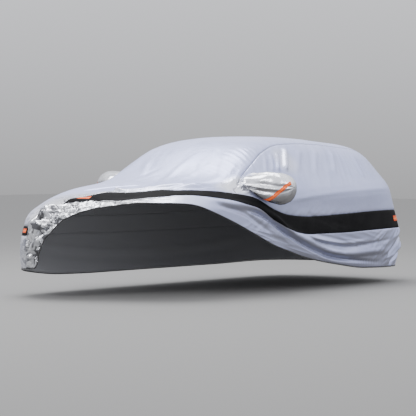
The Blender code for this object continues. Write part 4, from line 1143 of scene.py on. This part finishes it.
def black_cloth():
    """The matte black cloth of the bands."""
    material, tree, shader, uv = new_material("black_woven_cloth", BLACK, roughness=0.50, gloss=0.02)
    tone = clouds(tree, uv, BLACK_TONE)
    normal = bumped(tree, clouds(tree, uv, BLACK_CRINKLE), distance=0.004, strength=0.25)
    feed(tree, shader,
         Base_Color=blended(tree, ranged(tree, tone, 0.35, 0.75), BLACK, BLACK_WORN),
         Roughness=ranged(tree, tone, 0.3, 0.7, 0.42, 0.58),
         Normal=bumped(tree, woven(tree, uv), distance=0.0006, strength=0.20, normal=normal))
    return material


def reflective_tape():
    """Orange tape with a pale stripe along its middle and a fine beaded face."""
    material, tree, shader, uv = new_material("reflective_tape", ORANGE, roughness=0.45, gloss=0.30)
    across = node(tree, "SeparateXYZ", Vector=uv).outputs["Y"]
    off = maths(tree, "ABSOLUTE", maths(tree, "SUBTRACT", across, 0.5))
    striped = blended(tree, ranged(tree, off, 0.06, 0.09, 1.0, 0.0), ORANGE, PALE_STRIPE)
    wide = node(tree, "Mapping", Vector=uv, Scale=(1.0, POCKET_TAPE_WIDTH, 1.0)).outputs[0]
    beads = node(tree, "TexVoronoi", Vector=wide, Scale=BEAD_SCALE).outputs["Distance"]
    feed(tree, shader,
         Base_Color=blended(tree, ranged(tree, off, 0.42, 0.48, 0.0, 0.5), striped, ORANGE_EDGE),
         Roughness=ranged(tree, beads, 0.0, 0.6, 0.38, 0.55),
         Normal=bumped(tree, beads, distance=0.0006, strength=0.35))
    return material


def binding_cord():
    """The ribbed black cord round the hem."""
    material, tree, shader, uv = new_material("black_binding", BLACK, roughness=0.65, sheen=0.25)
    ribs = node(tree, "TexWave", {"wave_type": "BANDS", "bands_direction": "X"},
                Vector=uv, Scale=WAVE_LENGTH / RIB_PITCH).outputs["Fac"]
    feed(tree, shader,
         Base_Color=blended(tree, clouds(tree, uv, CORD_TONE), BLACK, BLACK_WORN),
         Normal=bumped(tree, ribs, distance=0.0012, strength=0.6))
    return material


def new_floor():
    """The plain floor under the cover, which isn't part of it."""
    bm = bmesh.new()
    bmesh.ops.create_grid(bm, x_segments=1, y_segments=1, size=FLOOR_SIZE / 2)
    bmesh.ops.translate(bm, verts=bm.verts, vec=(0.0, 0.0, -ROOF_REST[2]))
    mesh = bpy.data.meshes.new("pale_floor")
    bm.to_mesh(mesh)
    bm.free()
    floor = bpy.data.objects.new("pale_floor", mesh)
    material = bpy.data.materials.new("pale_floor")
    material.use_nodes = True
    shader = material.node_tree.nodes["Principled BSDF"]
    shader.inputs["Base Color"].default_value = (*FLOOR_GREY, 1.0)
    shader.inputs["Roughness"].default_value = FLOOR_ROUGHNESS
    mesh.materials.append(material)
    bpy.context.collection.objects.link(floor)


def new_light(name, place, size, power):
    """A soft square light that looks at the middle of the cover."""
    lamp = bpy.data.lights.new(name, "AREA")
    lamp.shape = "SQUARE"
    lamp.size = size
    lamp.energy = power
    item = bpy.data.objects.new(name, lamp)
    item.location = place
    item.rotation_euler = (-Vector(place)).to_track_quat("-Z", "Y").to_euler()
    bpy.context.collection.objects.link(item)


def light_room():
    """A pale room, brighter overhead than at the horizon, with soft lights."""
    world = bpy.data.worlds.new("pale_room")
    bpy.context.scene.world = world
    world.use_nodes = True
    tree = world.node_tree
    way = node(tree, "TexCoord").outputs["Generated"]
    height = node(tree, "SeparateXYZ", Vector=way).outputs["Z"]
    sky = node(tree, "ValToRGB", i0=node(tree, "MapRange", i0=height, i1=-1.0, i2=1.0).outputs[0])
    ramp = sky.color_ramp
    for _ in range(len(SKY) - 2):
        ramp.elements.new(0.5)
    for element, (place, colour) in zip(ramp.elements, SKY.items()):
        element.position = place
        element.color = (*colour, 1.0)
    tree.links.new(sky.outputs[0], tree.nodes["Background"].inputs["Color"])
    tree.nodes["Background"].inputs["Strength"].default_value = WORLD_STRENGTH
    for name, light in LIGHTS.items():
        new_light(name, *light)


def new_camera():
    """The photograph's own viewpoint, low and far off."""
    lens = bpy.data.cameras.new("photo_view")
    lens.lens = CAMERA_LENS
    lens.clip_end = CAMERA_REACH
    camera = bpy.data.objects.new("photo_view", lens)
    yaw, pitch = math.radians(CAMERA_YAW), math.radians(CAMERA_PITCH)
    level = math.cos(pitch)
    forward = Vector((math.cos(yaw) * level, math.sin(yaw) * level, math.sin(pitch)))
    camera.location = placed(CAMERA_PLACE)
    camera.rotation_euler = forward.to_track_quat("-Z", "Y").to_euler()
    bpy.context.collection.objects.link(camera)
    bpy.context.scene.camera = camera


silver, foil, lining = silver_cloth(), foil_cloth(), lining_cloth()
black, tape, cord = black_cloth(), reflective_tape(), binding_cord()

top = cut_panel("top_cloth", "top_panel", [silver, lining])
for side in ("left", "right"):
    for node_name, piece_name, cloth, slot in (
        ("side_", "side_cloth_", silver, "silver_cloth"),
        ("band_", "black_band_", black, "black_cloth"),
        ("skirt_", "skirt_cloth_", silver, "silver_cloth"),
    ):
        cut_panel(piece_name + side, node_name + side, [cloth, lining])

for side, pocket in POCKETS.items():
    sleeve, surface, points, angles = new_pocket(side, pocket, foil, lining)
    new_sleeve_tape(side, surface, points, angles, tape)
for name, place in TAPES.items():
    new_band_tape(name, place, tape)
binding = new_binding(cord)

new_floor()
light_room()
new_camera()
